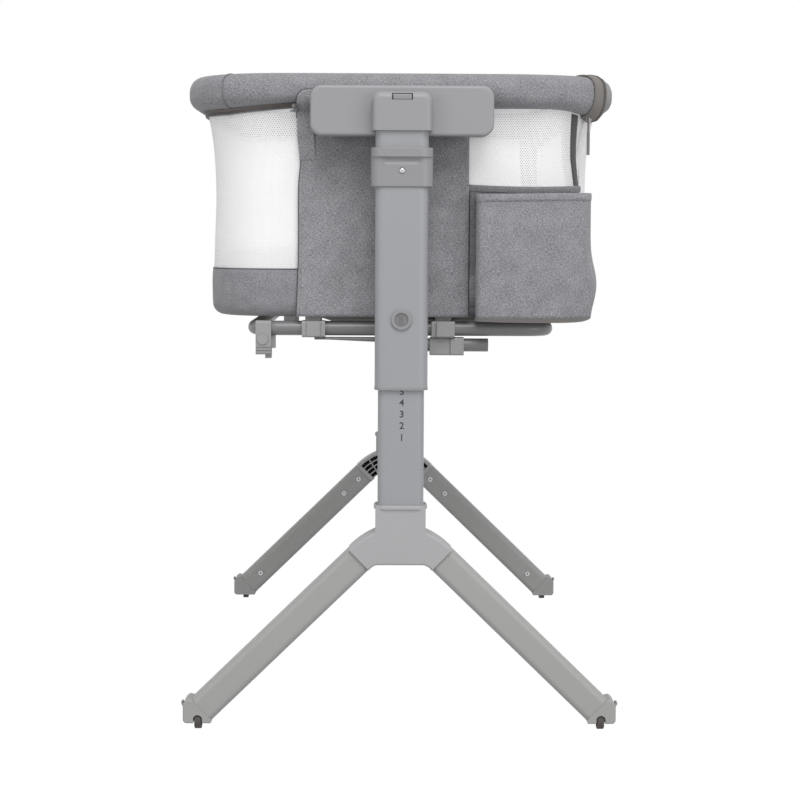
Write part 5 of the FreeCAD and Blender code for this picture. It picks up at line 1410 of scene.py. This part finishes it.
def screw_head(name, middle, out, body):
    """Low domed head with a cross recess."""
    head = solid("uv_sphere", name, scale=(1, 1, SCREW_HEIGHT / SCREW_R), segments=24, ring_count=12,
                 radius=SCREW_R)
    cutters = [solid("cube", "below", (0, 0, -SCREW_R), size=1.0,
                     scale=(4 * SCREW_R, 4 * SCREW_R, 2 * SCREW_R))]
    cutters += [solid("cube", "blade", (0, 0, SCREW_HEIGHT), (0, 0, turn), size=1.0,
                      scale=(SCREW_R * 1.15, SCREW_R * 0.26, SCREW_HEIGHT * 1.1))
                for turn in (CROSS_TURN, CROSS_TURN + math.pi / 2)]
    for cutter in cutters:
        finish_with(head, "BOOLEAN", operation="DIFFERENCE", object=cutter, solver="EXACT")
        bpy.data.objects.remove(cutter)
    head.data.transform(Matrix.Translation(middle) @ out.to_track_quat("Z", "Y").to_matrix().to_4x4())
    return dress(smooth(head, 30), ZINC, body)


for end, way in (("near", -1), ("far", 1)):
    screw_head("collar_screw_" + end, Vector((0, way * (COLLAR_FACE + 0.0002), COLLAR_SCREW_Z)),
               Vector((0, way, 0)), "collar_" + end)

# %% Sockets of the leg screws, painted shade
SOCKET_R, SOCKET_DEPTH = 0.0013, 0.0005


def solids_of(cad):
    """Corner lists of a node's separate solids, in the order of its vertices."""
    work = bmesh.new()
    work.from_mesh(cad.data)
    bmesh.ops.remove_doubles(work, verts=work.verts, dist=0.00001)
    seen, found = set(), []
    for start in work.verts:
        cluster, stack = [], [start]
        while stack:
            corner = stack.pop()
            if corner in seen:
                continue
            seen.add(corner)
            cluster.append(cad.matrix_world @ corner.co)
            stack += [edge.other_vert(corner) for edge in corner.link_edges]
        if cluster:
            found.append(cluster)
    work.free()
    return found


# Each leg screw gets a black hexagon on its face: painted shade of its socket.
for end, inward in (("near", 1), ("far", -1)):
    sockets = []
    for corners in solids_of(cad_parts["base_fasteners_" + end]):
        face = max(corner.y * inward for corner in corners)
        rim = [corner for corner in corners if corner.y * inward > face - 0.0004]
        middle = sum(rim, Vector()) / len(rim)
        sockets.append(solid("cylinder", "socket", (middle.x, face * inward, middle.z), (math.pi / 2, 0, 0),
                             vertices=6, radius=SOCKET_R, depth=SOCKET_DEPTH))
    dress(one_piece(sockets, "screw_sockets_" + end), SOCKET_SHADE, "base_" + end)

# %% [markdown]
# ## Camera
# The photograph looks along the crib's length onto its near end, from a little
# above the mattress and a little left of the post. The lens and the place were
# worked out from the feet: near and far wheels give the vanishing point.

# %% Set up the camera
EYE = Vector((-0.029, -2.864, 0.634))
PITCH_DOWN, YAW_RIGHT, ROLL = 4.95, 0.66, 0.27
camera_data = bpy.data.cameras.new("photo camera")
camera_data.sensor_width, camera_data.lens = 36.0, 86.1
camera_data.clip_start, camera_data.clip_end = 0.05, 60.0
camera = add("photo camera", camera_data)
camera.matrix_world = Matrix.Translation(EYE)
for degrees, axis in ((-YAW_RIGHT, "Z"), (90 - PITCH_DOWN, "X"), (ROLL, "Z")):
    camera.matrix_world = camera.matrix_world @ Matrix.Rotation(math.radians(degrees), 4, axis)
bpy.context.scene.camera = camera

# %% [markdown]
# ## Studio
# A white room with soft light from all round, one large soft lamp above the near
# end and a weaker one on each side. To the camera, floor and world are plain
# white; the floor still keeps a trace of the object's shadow.

# %% Floor and world
FLOOR_Z = -0.0006
PAPER = (0.50, 0.50, 0.50, 1)
WHITE = (1, 1, 1, 1)


def show_plain(tree, lit, plain, share, output):
    """Shows the plain shader to camera, gloss and glass by this share, and the
    lit one to all other light."""
    path = node(tree, "LightPath").outputs
    seen = reckon(tree, "MAXIMUM", path["Is Glossy Ray"], path["Is Transmission Ray"])
    seen = reckon(tree, "MAXIMUM", path["Is Camera Ray"], seen)
    blend = in_turn(tree, "MixShader", (reckon(tree, "MULTIPLY", seen, share), lit, plain))
    feed(tree, tree.nodes[output].inputs["Surface"], blend)


floor = solid("plane", "studio_floor", (0, 0, FLOOR_Z), size=14.0)
floor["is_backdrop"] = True
paper, tree, shader = surface("floor paper", Roughness=0.9, Base_Color=PAPER)
glow = node(tree, "Emission", Strength=1.03, Color=WHITE)
show_plain(tree, shader.outputs[0], glow.outputs[0], 0.965, "Material Output")
floor.data.materials.append(paper)

world = bpy.data.worlds.new("white room")
world.use_nodes = True
bpy.context.scene.world = world
lit = world.node_tree.nodes["Background"]
lit.inputs["Color"].default_value, lit.inputs["Strength"].default_value = WHITE, 0.60
plain = node(world.node_tree, "Background", Strength=1.0, Color=WHITE)
show_plain(world.node_tree, lit.outputs[0], plain.outputs[0], 1.0, "World Output")
bpy.context.scene.view_settings.view_transform = "Standard"


# %% Lamps
def soft_lamp(name, at, look_at, width, power):
    """Square area lamp that faces a point."""
    lamp = bpy.data.lights.new(name, "AREA")
    lamp.size, lamp.energy = width, power
    away = Vector(look_at) - Vector(at)
    turned = away.to_track_quat("-Z", "Y").to_matrix().to_4x4()
    add(name, lamp).matrix_world = Matrix.Translation(at) @ turned


soft_lamp("key lamp", (0.3, -2.4, 3.1), (0, -0.2, 0.5), 1.9, 64)
soft_lamp("left lamp", (-2.2, -2.4, 0.9), (0, -0.2, 0.6), 1.4, 14)
soft_lamp("right lamp", (2.2, -2.4, 0.9), (0, -0.2, 0.6), 1.4, 18)

# %% Size of the dressed object
low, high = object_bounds()
cad_low, cad_high = cad_box
{"cad_box": [list(cad_low), list(cad_high)], "visual_box": [list(low), list(high)]}
print("visual box:", [round(v, 4) for v in low], [round(v, 4) for v in high])
